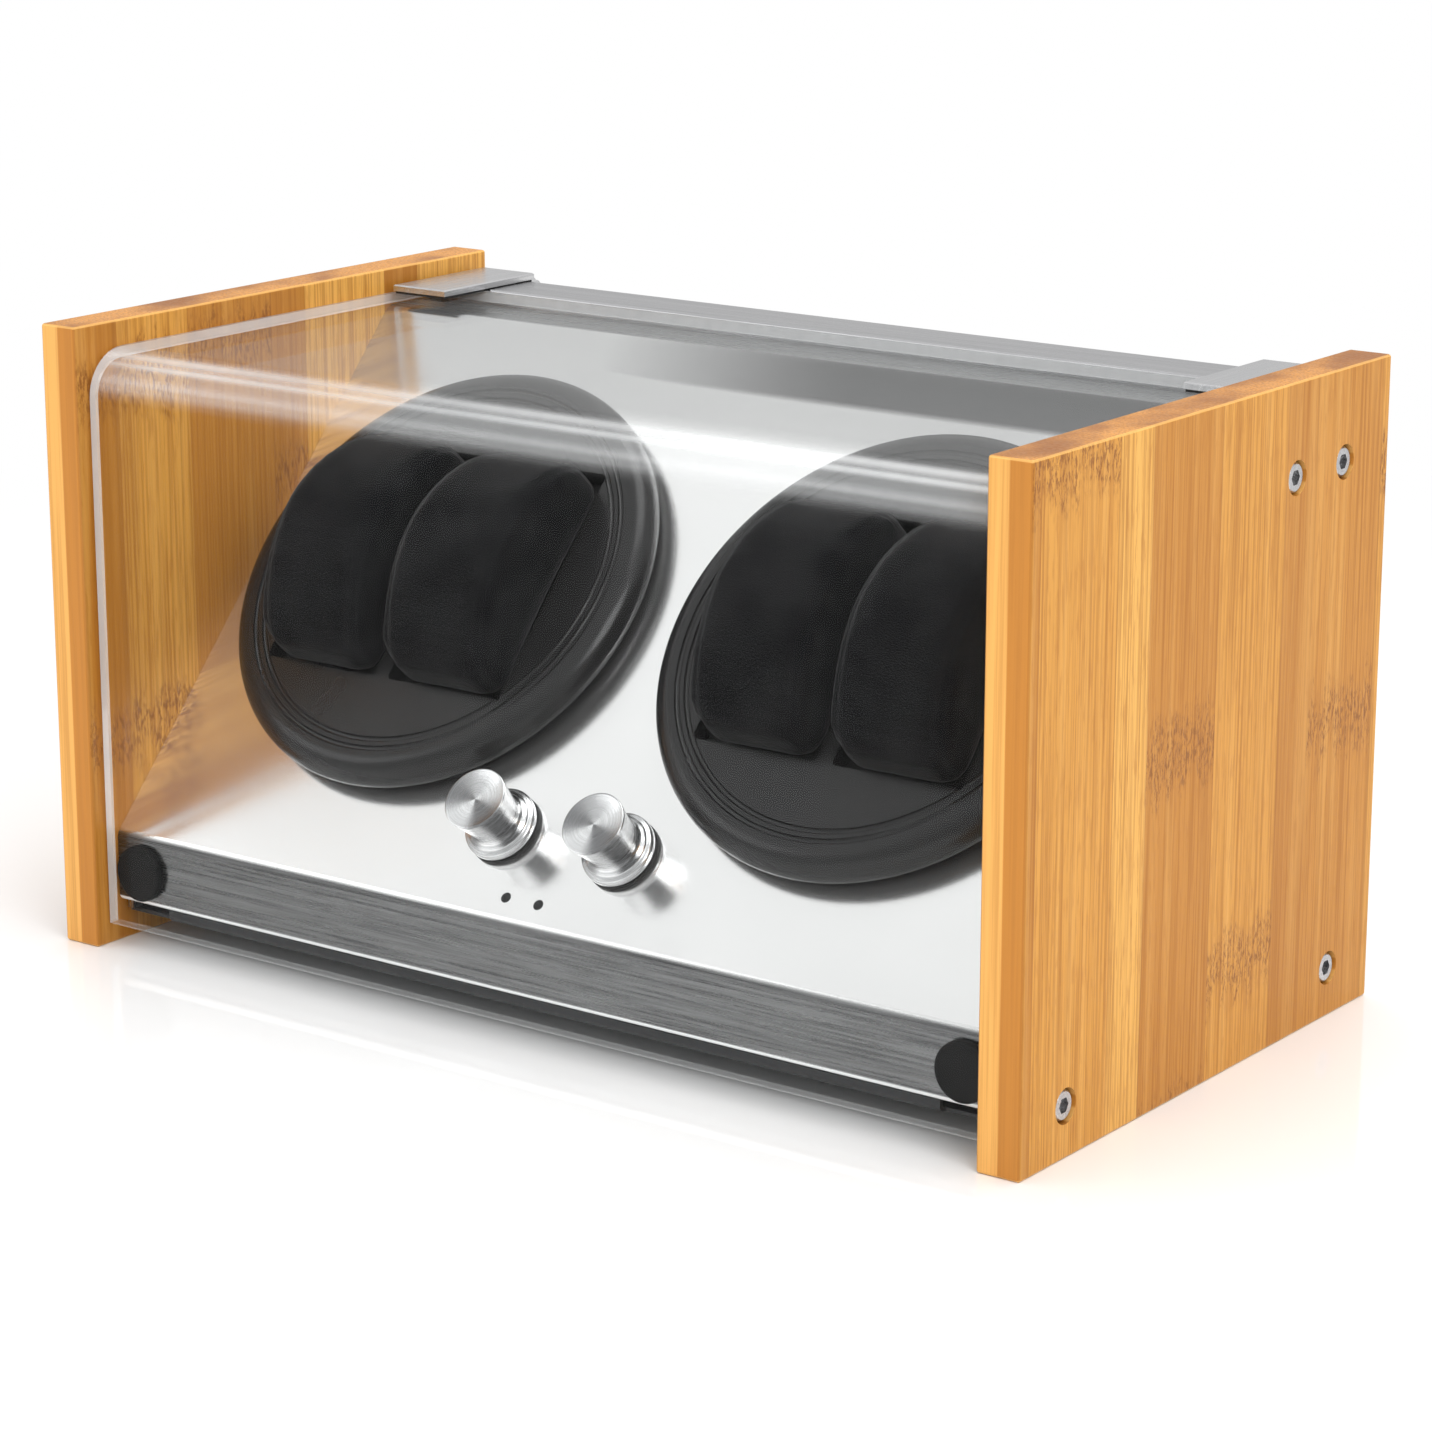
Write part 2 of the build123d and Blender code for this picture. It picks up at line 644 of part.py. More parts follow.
    with BuildPart() as motor:
        with BuildSketch(on_slope(table_x, TABLE_S + MOTOR_S, CAGE_LOW - MOTOR_LEN)):
            Circle(MOTOR_R)
        extrude(amount=MOTOR_LEN)
        fillet(motor.edges().filter_by(GeomType.CIRCLE), radius=1.0)
        with BuildSketch(on_slope(table_x, TABLE_S + MOTOR_S, CAGE_LOW)):
            Circle(MOTOR_BOSS_R)
        extrude(amount=MOTOR_BOSS_H)
        with BuildSketch(on_slope(table_x, TABLE_S + MOTOR_S, CAGE_LOW - MOTOR_LEN)):
            with Locations((-4, 0), (4, 0)):
                Rectangle(2.8, 0.5)
        extrude(amount=-4)
        with BuildSketch(on_slope(table_x, TABLE_S + MOTOR_S, CAGE_LOW + MOTOR_BOSS_H)):
            Circle(MOTOR_SHAFT_R + RUN_GAP)
        extrude(amount=-20, mode=Mode.SUBTRACT)
        with BuildSketch(on_slope(table_x, TABLE_S + MOTOR_S, CAGE_LOW)):
            with Locations((-MOTOR_SCREW_X, 0), (MOTOR_SCREW_X, 0)):
                Circle(MOTOR_SCREW_R)
        extrude(amount=-5, mode=Mode.SUBTRACT)
    save(motor.part, f"motor_{side}")

    with BuildPart() as motor_shaft:
        with BuildSketch(on_slope(table_x, TABLE_S + MOTOR_S, CAGE_LOW - 15)):
            Circle(MOTOR_SHAFT_R)
        extrude(amount=15 - CAGE_LOW - 12.6)
    save(motor_shaft.part, f"motor_shaft_{side}")

    with BuildPart() as motor_pulley:
        with BuildSketch(motor_plane):
            with BuildLine():
                pulley_profile(DRIVER_R, MOTOR_SHAFT_R, PULLEY_MID)
            make_face()
        revolve(axis=motor_axis)
    save(motor_pulley.part, f"motor_pulley_{side}")

    with BuildPart() as drive_belt:
        with BuildSketch(on_slope(table_x, TABLE_S, PULLEY_MID)):
            with BuildLine():
                belt_outline(DRIVEN_R + BELT_GAP + BELT_T, DRIVER_R + BELT_GAP + BELT_T)
            make_face()
            with BuildLine():
                belt_outline(DRIVEN_R + BELT_GAP, DRIVER_R + BELT_GAP)
            make_face(mode=Mode.SUBTRACT)
        extrude(amount=BELT_H / 2, both=True)
    save(drive_belt.part, f"drive_belt_{side}")

    # Cushions: plain barrel blocks that drop into the pockets, inner and outer on each table.
    for place, shift in (("outer", sign * CUSHION_X), ("inner", -sign * CUSHION_X)):
        half = CUSHION_L / 2
        with BuildPart() as cushion:
            with BuildSketch(slope_section(table_x + shift, TABLE_S)):
                with BuildLine():
                    Polyline(
                        (-half, CUSHION_END),
                        (-half, POCKET_FLOOR + 0.2),
                        (half, POCKET_FLOOR + 0.2),
                        (half, CUSHION_END),
                    )
                    ThreePointArc((-half, CUSHION_END), (0, CUSHION_TOP), (half, CUSHION_END))
                make_face()
            extrude(amount=CUSHION_W / 2, both=True)
            fillet(cushion.edges().filter_by(Axis(spin_axis.position, OUT)), radius=3)
        save(cushion.part, f"cushion_{side}_{place}")

    # Knob: wide flange, then a drum that widens to its face, hollow under the flange for the nut.
    knob_plane = slope_section(sign * KNOB_X, KNOB_S)
    knob_axis = Axis(knob_plane.origin, OUT)
    with BuildPart() as knob:
        with BuildSketch(knob_plane):
            with BuildLine():
                Polyline(
                    (0, KNOB_TOP - 0.5),
                    (0, 13.0),
                    (SHAFT_R, 13.0),
                    (SHAFT_R, 4.4),
                    (7.6, 4.4),
                    (7.6, KNOB_LOW),
                    (KNOB_R - 0.5, KNOB_LOW),
                )
                ThreePointArc((KNOB_R - 0.5, KNOB_LOW), (KNOB_R, 3.1), (KNOB_R - 0.5, 4.5))
                Polyline((KNOB_R - 0.5, 4.5), (9.9, 4.7), (9.6, 5.4))
                ThreePointArc((9.6, 5.4), (8.3, 6.1), (KNOB_WAIST_R, 7.4))
                Polyline(
                    (KNOB_WAIST_R, 7.4),
                    (KNOB_FACE_R, KNOB_TOP - 0.6),
                    (KNOB_FACE_R - 0.1, KNOB_TOP),
                    (KNOB_FACE_R - 0.5, KNOB_TOP),
                    (0, KNOB_TOP - 0.5),
                )
            make_face()
        revolve(axis=knob_axis)
    save(knob.part, f"knob_{side}")

    with BuildPart() as switch_spindle:
        with BuildSketch(on_slope(sign * KNOB_X, KNOB_S, -9)):
            Circle(SHAFT_R)
        extrude(amount=22)
    save(switch_spindle.part, f"switch_spindle_{side}")

    with BuildPart() as rotary_switch:
        with BuildSketch(on_slope(sign * KNOB_X, KNOB_S, -SHEET)):
            RectangleRounded(16, 18, 1)
        extrude(amount=-SWITCH_BODY_H)
        with BuildSketch(on_slope(sign * KNOB_X, KNOB_S, -SHEET)):
            Circle(SWITCH_BUSH_R)
        extrude(amount=4.0)
        with BuildSketch(on_slope(sign * KNOB_X, KNOB_S, -SHEET - SWITCH_BODY_H)):
            with Locations((0, -6)):
                with GridLocations(4, 0, 3, 1):
                    Rectangle(1.2, 0.6)
        extrude(amount=-4)
        with BuildSketch(on_slope(sign * KNOB_X, KNOB_S, 4)):
            Circle(SHAFT_R + RUN_GAP)
        extrude(amount=-4 - SWITCH_BODY_H, mode=Mode.SUBTRACT)
    save(rotary_switch.part, f"rotary_switch_{side}")

# ---- Ring seals under the knobs, and the nuts that hold the switches ----
with BuildPart() as knob_seals:
    with BuildSketch(on_slope()):
        with Locations((-KNOB_X, KNOB_S), (KNOB_X, KNOB_S)):
            Circle(KNOB_R)
            Circle(8.6, mode=Mode.SUBTRACT)
    extrude(amount=1.4)
    fillet(knob_seals.edges().filter_by(GeomType.CIRCLE), radius=0.4)
save(knob_seals.part, "knob_seals")

with BuildPart() as switch_nuts:
    with BuildSketch(on_slope()):
        with Locations((-KNOB_X, KNOB_S), (KNOB_X, KNOB_S)):
            RegularPolygon(6.2, 6)
            Circle(SWITCH_BUSH_R, mode=Mode.SUBTRACT)
    extrude(amount=1.8)
save(switch_nuts.part, "switch_nuts")

# ---- Indicator lamps, round-nosed, flush in their two holes ----
with BuildPart() as indicator_lamps:
    with BuildSketch(on_slope(s=LED_S)):
        with Locations(*[(x, 0) for x in LED_XS]):
            Circle(LED_R)
    extrude(amount=-5)
    with BuildSketch(on_slope(s=LED_S, h=-SHEET - 0.3)):
        with Locations(*[(x, 0) for x in LED_XS]):
            Circle(2.0)
    extrude(amount=-4)
save(indicator_lamps.part, "indicator_lamps")

# ---- Screws that hold the motor cages and the motors ----
with BuildPart() as cage_screws:
    for sign in SIDES.values():
        head = on_slope(sign * TABLE_X, TABLE_S + MOTOR_S / 2, 0)
        with BuildSketch(head):
            with GridLocations(2 * (CAGE_X + CAGE_TAB / 2), -MOTOR_S, 2, 2):
                Circle(3.0)
        extrude(amount=0.8)
        with BuildSketch(head):
            with GridLocations(2 * (CAGE_X + CAGE_TAB / 2), -MOTOR_S, 2, 2):
                Circle(M3_R)
        extrude(amount=-4.5)
        with BuildSketch(on_slope(sign * TABLE_X, TABLE_S + MOTOR_S, CAGE_LOW + CAGE_T)):
            with Locations((-MOTOR_SCREW_X, 0), (MOTOR_SCREW_X, 0)):
                Circle(2.4)
        extrude(amount=1.4)
        with BuildSketch(on_slope(sign * TABLE_X, TABLE_S + MOTOR_S, CAGE_LOW + CAGE_T)):
            with Locations((-MOTOR_SCREW_X, 0), (MOTOR_SCREW_X, 0)):
                Circle(MOTOR_SCREW_R)
        extrude(amount=-5)
save(cage_screws.part, "cage_screws")

# ---- Control board on four posts above the base ----
BOARD_Z = BASE_Z + SHEET + POST_H
with BuildPart() as control_board:
    with BuildSketch(Plane.XY.offset(BOARD_Z)):
        with Locations((0, BOARD_Y)):
            RectangleRounded(66, 46, 1.5)
            with GridLocations(*BOARD_HOLES, 2, 2):
                Circle(M3_R + 0.1, mode=Mode.SUBTRACT)
    extrude(amount=BOARD_T)
    with BuildSketch(Plane.XY.offset(BOARD_Z + BOARD_T)):
        with Locations((0, BOARD_Y)):
            Rectangle(12, 9)
        with Locations((-18, BOARD_Y + 15), (0, BOARD_Y + 15), (18, BOARD_Y + 15)):
            Rectangle(12, 6)
        with Locations((-16, BOARD_Y - 4), (17, BOARD_Y + 2)):
            Circle(4)
    extrude(amount=5)
save(control_board.part, "control_board")

with BuildPart() as board_fixings:
    with BuildSketch(Plane.XY.offset(BASE_Z + SHEET)):
        with Locations((0, BOARD_Y)):
            with GridLocations(*BOARD_HOLES, 2, 2):
                Circle(3)
    extrude(amount=POST_H)
    with BuildSketch(Plane.XY.offset(BASE_Z)):
        with Locations((0, BOARD_Y)):
            with GridLocations(*BOARD_HOLES, 2, 2):
                Circle(M3_R)
    extrude(amount=POST_H + SHEET + BOARD_T)
    with BuildSketch(Plane.XY.offset(BOARD_Z + BOARD_T)):
        with Locations((0, BOARD_Y)):
            with GridLocations(*BOARD_HOLES, 2, 2):
                Circle(2.7)
    extrude(amount=1.8)
save(board_fixings.part, "board_fixings")

# ---- Power inlet: flanged barrel through the rear cover, with its nut inside ----
with BuildPart() as power_jack:
    with BuildSketch(Plane.XZ.offset(-(SHELL_BACK + SHEET))):
        with Locations((JACK_X, JACK_Z)):
            Circle(7.5)
    extrude(amount=-JACK_FLANGE_T)
    with BuildSketch(Plane.XZ.offset(-(SHELL_BACK + SHEET))):
        with Locations((JACK_X, JACK_Z)):
            Circle(JACK_R)
    extrude(amount=13)
    with BuildSketch(Plane.XZ.offset(-(SHELL_BACK + SHEET + JACK_FLANGE_T))):
        with Locations((JACK_X, JACK_Z)):
            Circle(2.9)
    extrude(amount=10.5, mode=Mode.SUBTRACT)
    with BuildSketch(Plane.XZ.offset(-(SHELL_BACK + SHEET))):
        with Locations((JACK_X, JACK_Z)):
            Circle(1.0)
    extrude(amount=11)
save(power_jack.part, "power_jack")

with BuildPart() as jack_nut:
    with BuildSketch(Plane.XZ.offset(-SHELL_BACK)):
        with Locations((JACK_X, JACK_Z)):
            RegularPolygon(8.2, 6)
            Circle(JACK_R, mode=Mode.SUBTRACT)
    extrude(amount=2.2)
save(jack_nut.part, "jack_nut")
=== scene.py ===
import json
import math

import bmesh
import bpy
from mathutils import Matrix, Vector, noise


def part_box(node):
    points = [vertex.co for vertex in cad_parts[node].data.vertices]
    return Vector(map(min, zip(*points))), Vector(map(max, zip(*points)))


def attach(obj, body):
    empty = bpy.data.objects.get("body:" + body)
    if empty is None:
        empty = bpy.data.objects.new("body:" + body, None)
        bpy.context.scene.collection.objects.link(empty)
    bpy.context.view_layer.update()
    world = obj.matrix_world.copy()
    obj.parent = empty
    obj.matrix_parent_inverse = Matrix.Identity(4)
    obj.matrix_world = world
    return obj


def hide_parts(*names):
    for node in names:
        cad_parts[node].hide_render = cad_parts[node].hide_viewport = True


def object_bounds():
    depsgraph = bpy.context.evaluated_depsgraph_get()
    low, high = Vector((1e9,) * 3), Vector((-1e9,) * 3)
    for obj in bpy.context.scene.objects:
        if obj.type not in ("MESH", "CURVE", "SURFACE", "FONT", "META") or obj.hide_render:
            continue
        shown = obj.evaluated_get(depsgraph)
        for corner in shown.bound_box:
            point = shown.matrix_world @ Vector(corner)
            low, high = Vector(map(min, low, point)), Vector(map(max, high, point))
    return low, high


# Watch winder box in metres, in the CAD frame: origin on the floor, +X right, front at -Y.
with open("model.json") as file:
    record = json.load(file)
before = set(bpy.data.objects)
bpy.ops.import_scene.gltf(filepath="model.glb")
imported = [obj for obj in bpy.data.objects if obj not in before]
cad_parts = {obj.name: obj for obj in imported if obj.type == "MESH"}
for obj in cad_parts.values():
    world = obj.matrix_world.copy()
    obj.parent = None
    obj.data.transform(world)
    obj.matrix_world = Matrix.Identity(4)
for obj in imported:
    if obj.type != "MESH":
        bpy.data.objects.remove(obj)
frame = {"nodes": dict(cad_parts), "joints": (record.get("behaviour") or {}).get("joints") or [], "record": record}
cad_low, cad_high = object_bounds()
record = frame["record"]
joints = {joint["name"]: joint for joint in frame["joints"]}
SIDES = ("left", "right")
PLACES = ("outer", "inner")
MM = 0.001

OUT = Vector(joints["turntable_left_spin"]["axis"]).normalized()
ALONG = OUT.cross(Vector((1, 0, 0))).normalized()


def slope_matrix(joint_name):
    """Local frame at a joint on the sloping face: X across, Y up the slope, Z out of it."""
    rot = Matrix((Vector((1, 0, 0)), ALONG, OUT)).transposed().to_4x4()
    return Matrix.Translation(Vector(joints[joint_name]["pos_m"])) @ rot


TABLE_FRAMES = {side: slope_matrix(f"turntable_{side}_spin") for side in SIDES}
KNOB_FRAMES = {side: slope_matrix(f"knob_{side}_turn") for side in SIDES}


def local_box(node, matrix):
    """Lowest and highest corner of a CAD node along a local frame's own axes."""
    inverse = matrix.inverted()
    points = [inverse @ v.co for v in frame["nodes"][node].data.vertices]
    low = Vector([min(p[i] for p in points) for i in range(3)])
    high = Vector([max(p[i] for p in points) for i in range(3)])
    return low, high


# ---------------------------------------------------------------- material helpers


class Shader:
    """A material's node tree with short ways to add and link nodes."""

    def __init__(self, name):
        self.material = bpy.data.materials.new(name)
        self.material.use_nodes = True
        self.tree = self.material.node_tree
        self.bsdf = self.tree.nodes["Principled BSDF"]
        self.output = self.tree.nodes["Material Output"]

    def add(self, kind, **settings):
        """A new node with its own settings."""
        node = self.tree.nodes.new(kind)
        for key, value in settings.items():
            setattr(node, key, value)
        return node

    def link(self, source, target):
        """A link from one socket to another."""
        self.tree.links.new(source, target)

    def plug(self, value, socket):
        """Feeds a socket from another socket, or gives it a fixed value."""
        if isinstance(value, bpy.types.NodeSocket):
            self.link(value, socket)
        else:
            socket.default_value = value

    def set(self, **values):
        """Feeds the main shader's inputs by name, with _ for a space."""
        for key, value in values.items():
            self.plug(value, self.bsdf.inputs[key.replace("_", " ")])

    def math(self, operation, a, b=0.0):
        """One arithmetic step on sockets or numbers."""
        node = self.add("ShaderNodeMath", operation=operation)
        self.plug(a, node.inputs[0])
        self.plug(b, node.inputs[1])
        return node.outputs[0]

    def place(self):
        """The point on the object in metres, as a vector and as x, y and z."""
        coords = self.add("ShaderNodeTexCoord")
        split = self.add("ShaderNodeSeparateXYZ")
        self.link(coords.outputs["Object"], split.inputs[0])
        return coords.outputs["Object"], split.outputs[0], split.outputs[1], split.outputs[2]

    def facing(self):
        """The surface's own direction as x, y and z."""
        coords = self.add("ShaderNodeTexCoord")
        split = self.add("ShaderNodeSeparateXYZ")
        self.link(coords.outputs["Normal"], split.inputs[0])
        return split.outputs[0], split.outputs[1], split.outputs[2]

    def stretch(self, vector, scale):
        """A vector times one number for each axis."""
        node = self.add("ShaderNodeVectorMath", operation="MULTIPLY")
        self.link(vector, node.inputs[0])
        node.inputs[1].default_value = scale
        return node.outputs[0]

    def join(self, x, y, z):
        """A vector from three values."""
        node = self.add("ShaderNodeCombineXYZ")
        for value, socket in zip((x, y, z), node.inputs):
            self.plug(value, socket)
        return node.outputs[0]

    def noise(self, vector, scale=1.0, detail=2.0, rough=0.5):
        """Smooth noise from 0 to 1 at a vector."""
        node = self.add("ShaderNodeTexNoise")
        self.link(vector, node.inputs["Vector"])
        node.inputs["Scale"].default_value = scale
        node.inputs["Detail"].default_value = detail
        node.inputs["Roughness"].default_value = rough
        return node.outputs["Fac"]

    def white(self, value):
        """A random number from 0 to 1 for each value."""
        node = self.add("ShaderNodeTexWhiteNoise", noise_dimensions="1D")
        self.link(value, node.inputs["W"])
        return node.outputs["Value"]

    def smooth(self, value, low, high, out_low=0.0, out_high=1.0):
        """Eased step between two outputs as value goes from low to high."""
        node = self.add("ShaderNodeMapRange", interpolation_type="SMOOTHSTEP")
        self.link(value, node.inputs["Value"])
        node.inputs["From Min"].default_value = low
        node.inputs["From Max"].default_value = high
        node.inputs["To Min"].default_value = out_low
        node.inputs["To Max"].default_value = out_high
        return node.outputs["Result"]

    def ramp(self, value, *stops):
        """Colour ramp with (place, colour) stops."""
        node = self.add("ShaderNodeValToRGB")
        self.link(value, node.inputs[0])
        elements = node.color_ramp.elements
        while len(elements) < len(stops):
            elements.new(0.5)
        for element, (at, colour) in zip(elements, stops):
            element.position = at
            element.color = (*colour, 1)
        return node.outputs[0]

    def mix(self, factor, a, b):
        """Colour between a and b, each a socket or three numbers."""
        node = self.add("ShaderNodeMix", data_type="RGBA")
        self.plug(factor, node.inputs["Factor"])
        for value, name in ((a, "A"), (b, "B")):
            socket = [s for s in node.inputs if s.name == name and s.type == "RGBA"][0]
            self.plug(value if isinstance(value, bpy.types.NodeSocket) else (*value, 1), socket)
        return [s for s in node.outputs if s.type == "RGBA"][0]

    def bump(self, height, distance, strength=1.0):
        """Bump on the main shader, its depth in metres."""
        node = self.add("ShaderNodeBump")
        node.inputs["Strength"].default_value = strength
        node.inputs["Distance"].default_value = distance
        self.link(height, node.inputs["Height"])
        self.link(node.outputs[0], self.bsdf.inputs["Normal"])
        return node


# ---------------------------------------------------------------- materials


def bamboo():
    """Vertical bamboo strips with fibres and node marks, two plies on the narrow faces."""
    s = Shader("bamboo")
    point, x, y, z = s.place()
    nx, ny, nz = s.facing()
    side_sign = s.math("SIGN", x)
    panel_low, panel_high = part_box("side_panel_right")
    mid_x = (panel_low.x + panel_high.x) / 2
    across_ply = s.math("SUBTRACT", x, s.math("MULTIPLY", side_sign, mid_x))

    # Strips of uneven width run up each board.
    wander = s.math("MULTIPLY", s.math("SINE", s.math("MULTIPLY", y, 131.0)), 0.27)
    strips = s.math("ADD", s.math("MULTIPLY", y, 36.0), wander)
    strips = s.math("ADD", strips, s.math("MULTIPLY", s.math("SIGN", nx), 13.3))
    strips = s.math("ADD", strips, s.math("MULTIPLY", side_sign, 31.7))
    index = s.math("FLOOR", strips)
    tone = s.white(index)
    other = s.white(s.math("ADD", index, 57.3))
    face = s.ramp(
        tone,
        (0.0, (0.43, 0.168, 0.022)),
        (0.35, (0.55, 0.240, 0.038)),
        (0.65, (0.68, 0.330, 0.060)),
        (1.0, (0.80, 0.440, 0.105)),
    )

    # Fibres: long fine streaks up the grain.
    fibre = s.noise(s.stretch(point, (900, 900, 9)), 1.0, 3.0, 0.6)
    broad = s.noise(s.stretch(point, (190, 190, 5)), 1.0, 2.0, 0.5)
    face = s.mix(s.smooth(fibre, 0.40, 0.66, 0.0, 0.62), face, (0.34, 0.120, 0.016))
    face = s.mix(s.smooth(broad, 0.45, 0.72, 0.0, 0.3), face, (0.80, 0.44, 0.12))
    flecks = s.noise(s.stretch(point, (800, 800, 75)), 1.0, 3.0, 0.6)
    face = s.mix(s.smooth(flecks, 0.50, 0.66, 0.0, 0.45), face, (0.40, 0.150, 0.020))

    # Node marks: short speckled bands at uneven heights in each strip.
    ragged = s.noise(s.stretch(point, (190, 190, 60)), 1.0, 3.0, 0.65)
    rise = s.math("ADD", s.math("MULTIPLY", z, 9.5), s.math("MULTIPLY", other, 7.0))
    rise = s.math("ADD", rise, s.math("MULTIPLY", ragged, 0.34))
    cell = s.math("FLOOR", rise)
    inside = s.math("ABSOLUTE", s.math("SUBTRACT", s.math("FRACT", rise), 0.5))
    key = s.math("ADD", s.math("MULTIPLY", cell, 3.1), s.math("MULTIPLY", index, 7.7))
    chosen = s.white(key)
    band = s.smooth(inside, 0.02, 0.13, 1.0, 0.0)
    band = s.math("MULTIPLY", band, s.smooth(chosen, 0.30, 0.40))
    speckle = s.noise(s.stretch(point, (1000, 1000, 330)), 1.0, 3.0, 0.65)
    mark = s.math("MULTIPLY", band, s.smooth(speckle, 0.44, 0.62, 0.06, 0.95))
    face = s.mix(mark, face, (0.25, 0.088, 0.015))

    # Joints between strips.
    seam = s.math("ABSOLUTE", s.math("SUBTRACT", s.math("FRACT", strips), 0.5))
    face = s.mix(s.smooth(seam, 0.478, 0.497, 0.0, 0.3), face, (0.30, 0.115, 0.022))

    # Narrow front and back faces: a light ply and a dark ply.
    ply = s.smooth(across_ply, -0.0003, 0.0003)
    streak = s.noise(s.stretch(point, (700, 700, 10)), 1.0, 3.0, 0.6)
    narrow = s.mix(ply, (0.86, 0.44, 0.115), (0.56, 0.225, 0.038))
    narrow = s.mix(s.smooth(streak, 0.42, 0.7, 0.0, 0.4), narrow, (0.44, 0.17, 0.03))
    is_narrow = s.smooth(s.math("ABSOLUTE", ny), 0.6, 0.8)
    colour = s.mix(is_narrow, face, narrow)

    # Top and bottom: end grain, darker, in patches.
    grain = s.noise(s.stretch(point, (1400, 1400, 1400)), 1.0, 2.0, 0.6)
    patch = s.noise(s.stretch(point, (35, 26, 1)), 1.0, 2.0, 0.6)
    ends = s.mix(s.smooth(patch, 0.38, 0.64), (0.66, 0.29, 0.055), (0.30, 0.105, 0.014))
    ends = s.mix(s.smooth(grain, 0.42, 0.62, 0.0, 0.55), ends, (0.26, 0.09, 0.015))
    is_end = s.smooth(s.math("ABSOLUTE", nz), 0.6, 0.8)
    colour = s.mix(is_end, colour, ends)

    # Eased edges: lighter where they turn upwards, darker down the upright ones.
    upright = s.math("ABSOLUTE", nz)
    squareness = s.math("MAXIMUM", s.math("ABSOLUTE", nx), s.math("ABSOLUTE", ny))
    squareness = s.math("MAXIMUM", squareness, upright)
    edge = s.smooth(squareness, 0.90, 0.99, 0.5, 0.0)
    edge_tone = s.mix(s.smooth(upright, 0.2, 0.4), (0.36, 0.135, 0.022), (0.88, 0.52, 0.17))
    colour = s.mix(edge, colour, edge_tone)

    s.set(Base_Color=colour, Roughness=s.smooth(fibre, 0.3, 0.7, 0.34, 0.46))
    s.bsdf.inputs["Specular IOR Level"].default_value = 0.22
    s.bump(s.math("ADD", fibre, s.math("MULTIPLY", mark, -0.6)), 0.00012, 0.5)
    return s.material


def brushed(name, stretch, colour, streaks, roughness=(0.24, 0.36), depth=0.00002):
    """Satin metal with brush lines along the axis whose stretch is small."""
    s = Shader(name)
    point = s.place()[0]
    fine = s.noise(s.stretch(point, stretch), 1.0, 3.0, 0.7)
    wide = s.noise(s.stretch(point, tuple(v * 0.22 for v in stretch)), 1.0, 2.0, 0.5)
    tint = s.mix(s.smooth(fine, 0.35, 0.68, 0.0, 0.8), colour, streaks)
    tint = s.mix(s.smooth(wide, 0.4, 0.65, 0.0, 0.25), tint, streaks)
    s.set(Base_Color=tint, Roughness=s.smooth(fine, 0.3, 0.7, *roughness))
    s.bsdf.inputs["Metallic"].default_value = 1.0
    s.bump(fine, depth, 0.4)
    return s.material


def front_steel():
    """Brushed sheet: pale satin slope with painted shade under its top bend, flat darkened to grey by painted
    shade, dark brushed lip with painted shade, painted white highlight on the hem.
    """
    s = Shader("front_steel")
    point, x, y, z = s.place()
    nx, ny, nz = s.facing()
    fine = s.noise(s.stretch(point, (14, 1500, 1500)), 1.0, 3.0, 0.7)
    wide = s.noise(s.stretch(point, (26, 1100, 1100)), 1.0, 3.0, 0.6)
    cloud = s.noise(s.stretch(point, (9, 14, 14)), 1.0, 2.0, 0.5)
    is_lip = s.smooth(s.math("MULTIPLY", ny, -1.0), 0.74, 0.97)
    is_flat = s.smooth(nz, 0.93, 0.995)
    is_bare = s.math("MAXIMUM", is_lip, is_flat)
    lip_low, flat_top = (corner.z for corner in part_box("front_panel"))
    # Painted highlight mask: the hem's bottom bend.
    painted_hem_highlight = s.smooth(z, lip_low + 1.3 * MM, lip_low + 1.9 * MM, 1.0, 0.0)
    # Painted shade and reflection: the top of the slope darkened, more towards the right, with a softer band below
    # it.
    shade = s.smooth(z, flat_top - 12.5 * MM, flat_top - 9.5 * MM)
    shade = s.math("MULTIPLY", shade, s.smooth(x, -130 * MM, 30 * MM, 0.0, 0.93))
    soft = s.math("MULTIPLY", s.smooth(z, flat_top - 24 * MM, flat_top - 18 * MM), 0.32)
    shade = s.math("MAXIMUM", shade, soft)
    base = s.mix(s.smooth(cloud, 0.3, 0.7), (0.97, 0.965, 0.96), (0.92, 0.915, 0.91))
    base = s.mix(shade, base, (0.055, 0.055, 0.056))
    # Lip: brushed grey tones, darkened as painted shade, darker still towards the left.
    lip = s.mix(s.smooth(wide, 0.35, 0.65), (0.115, 0.115, 0.117), (0.20, 0.20, 0.202))
    lip = s.mix(s.smooth(x, -150 * MM, 50 * MM, 0.45, 0.0), lip, (0.06, 0.06, 0.06))
    base = s.mix(is_lip, base, lip)
    # Painted shade: the flat under the cover darkened to grey.
    base = s.mix(is_flat, base, (0.28, 0.28, 0.282))
    streaks = s.smooth(is_bare, 0.0, 1.0, 0.012, 0.4)
    streaks = s.math("MULTIPLY", s.smooth(fine, 0.35, 0.68), streaks)
    base = s.mix(streaks, base, (0.34, 0.34, 0.34))
    # Painted highlight: the hem's bend painted white and kept non-metal.
    base = s.mix(painted_hem_highlight, base, (0.98, 0.98, 0.98))
    metal = s.smooth(is_bare, 0.0, 1.0, 0.96, 1.0)
    s.set(Metallic=s.math("MULTIPLY", metal, s.math("SUBTRACT", 1.0, painted_hem_highlight)))
    gloss_low = s.smooth(is_bare, 0.0, 1.0, 0.165, 0.24)
    grainy = s.math("MULTIPLY", s.smooth(fine, 0.3, 0.7), s.smooth(is_bare, 0.0, 1.0, 0.02, 0.10))
    s.set(Base_Color=base, Roughness=s.math("ADD", gloss_low, grainy))
    s.bump(s.math("MULTIPLY", fine, is_bare), 0.00001, 0.25)
    return s.material


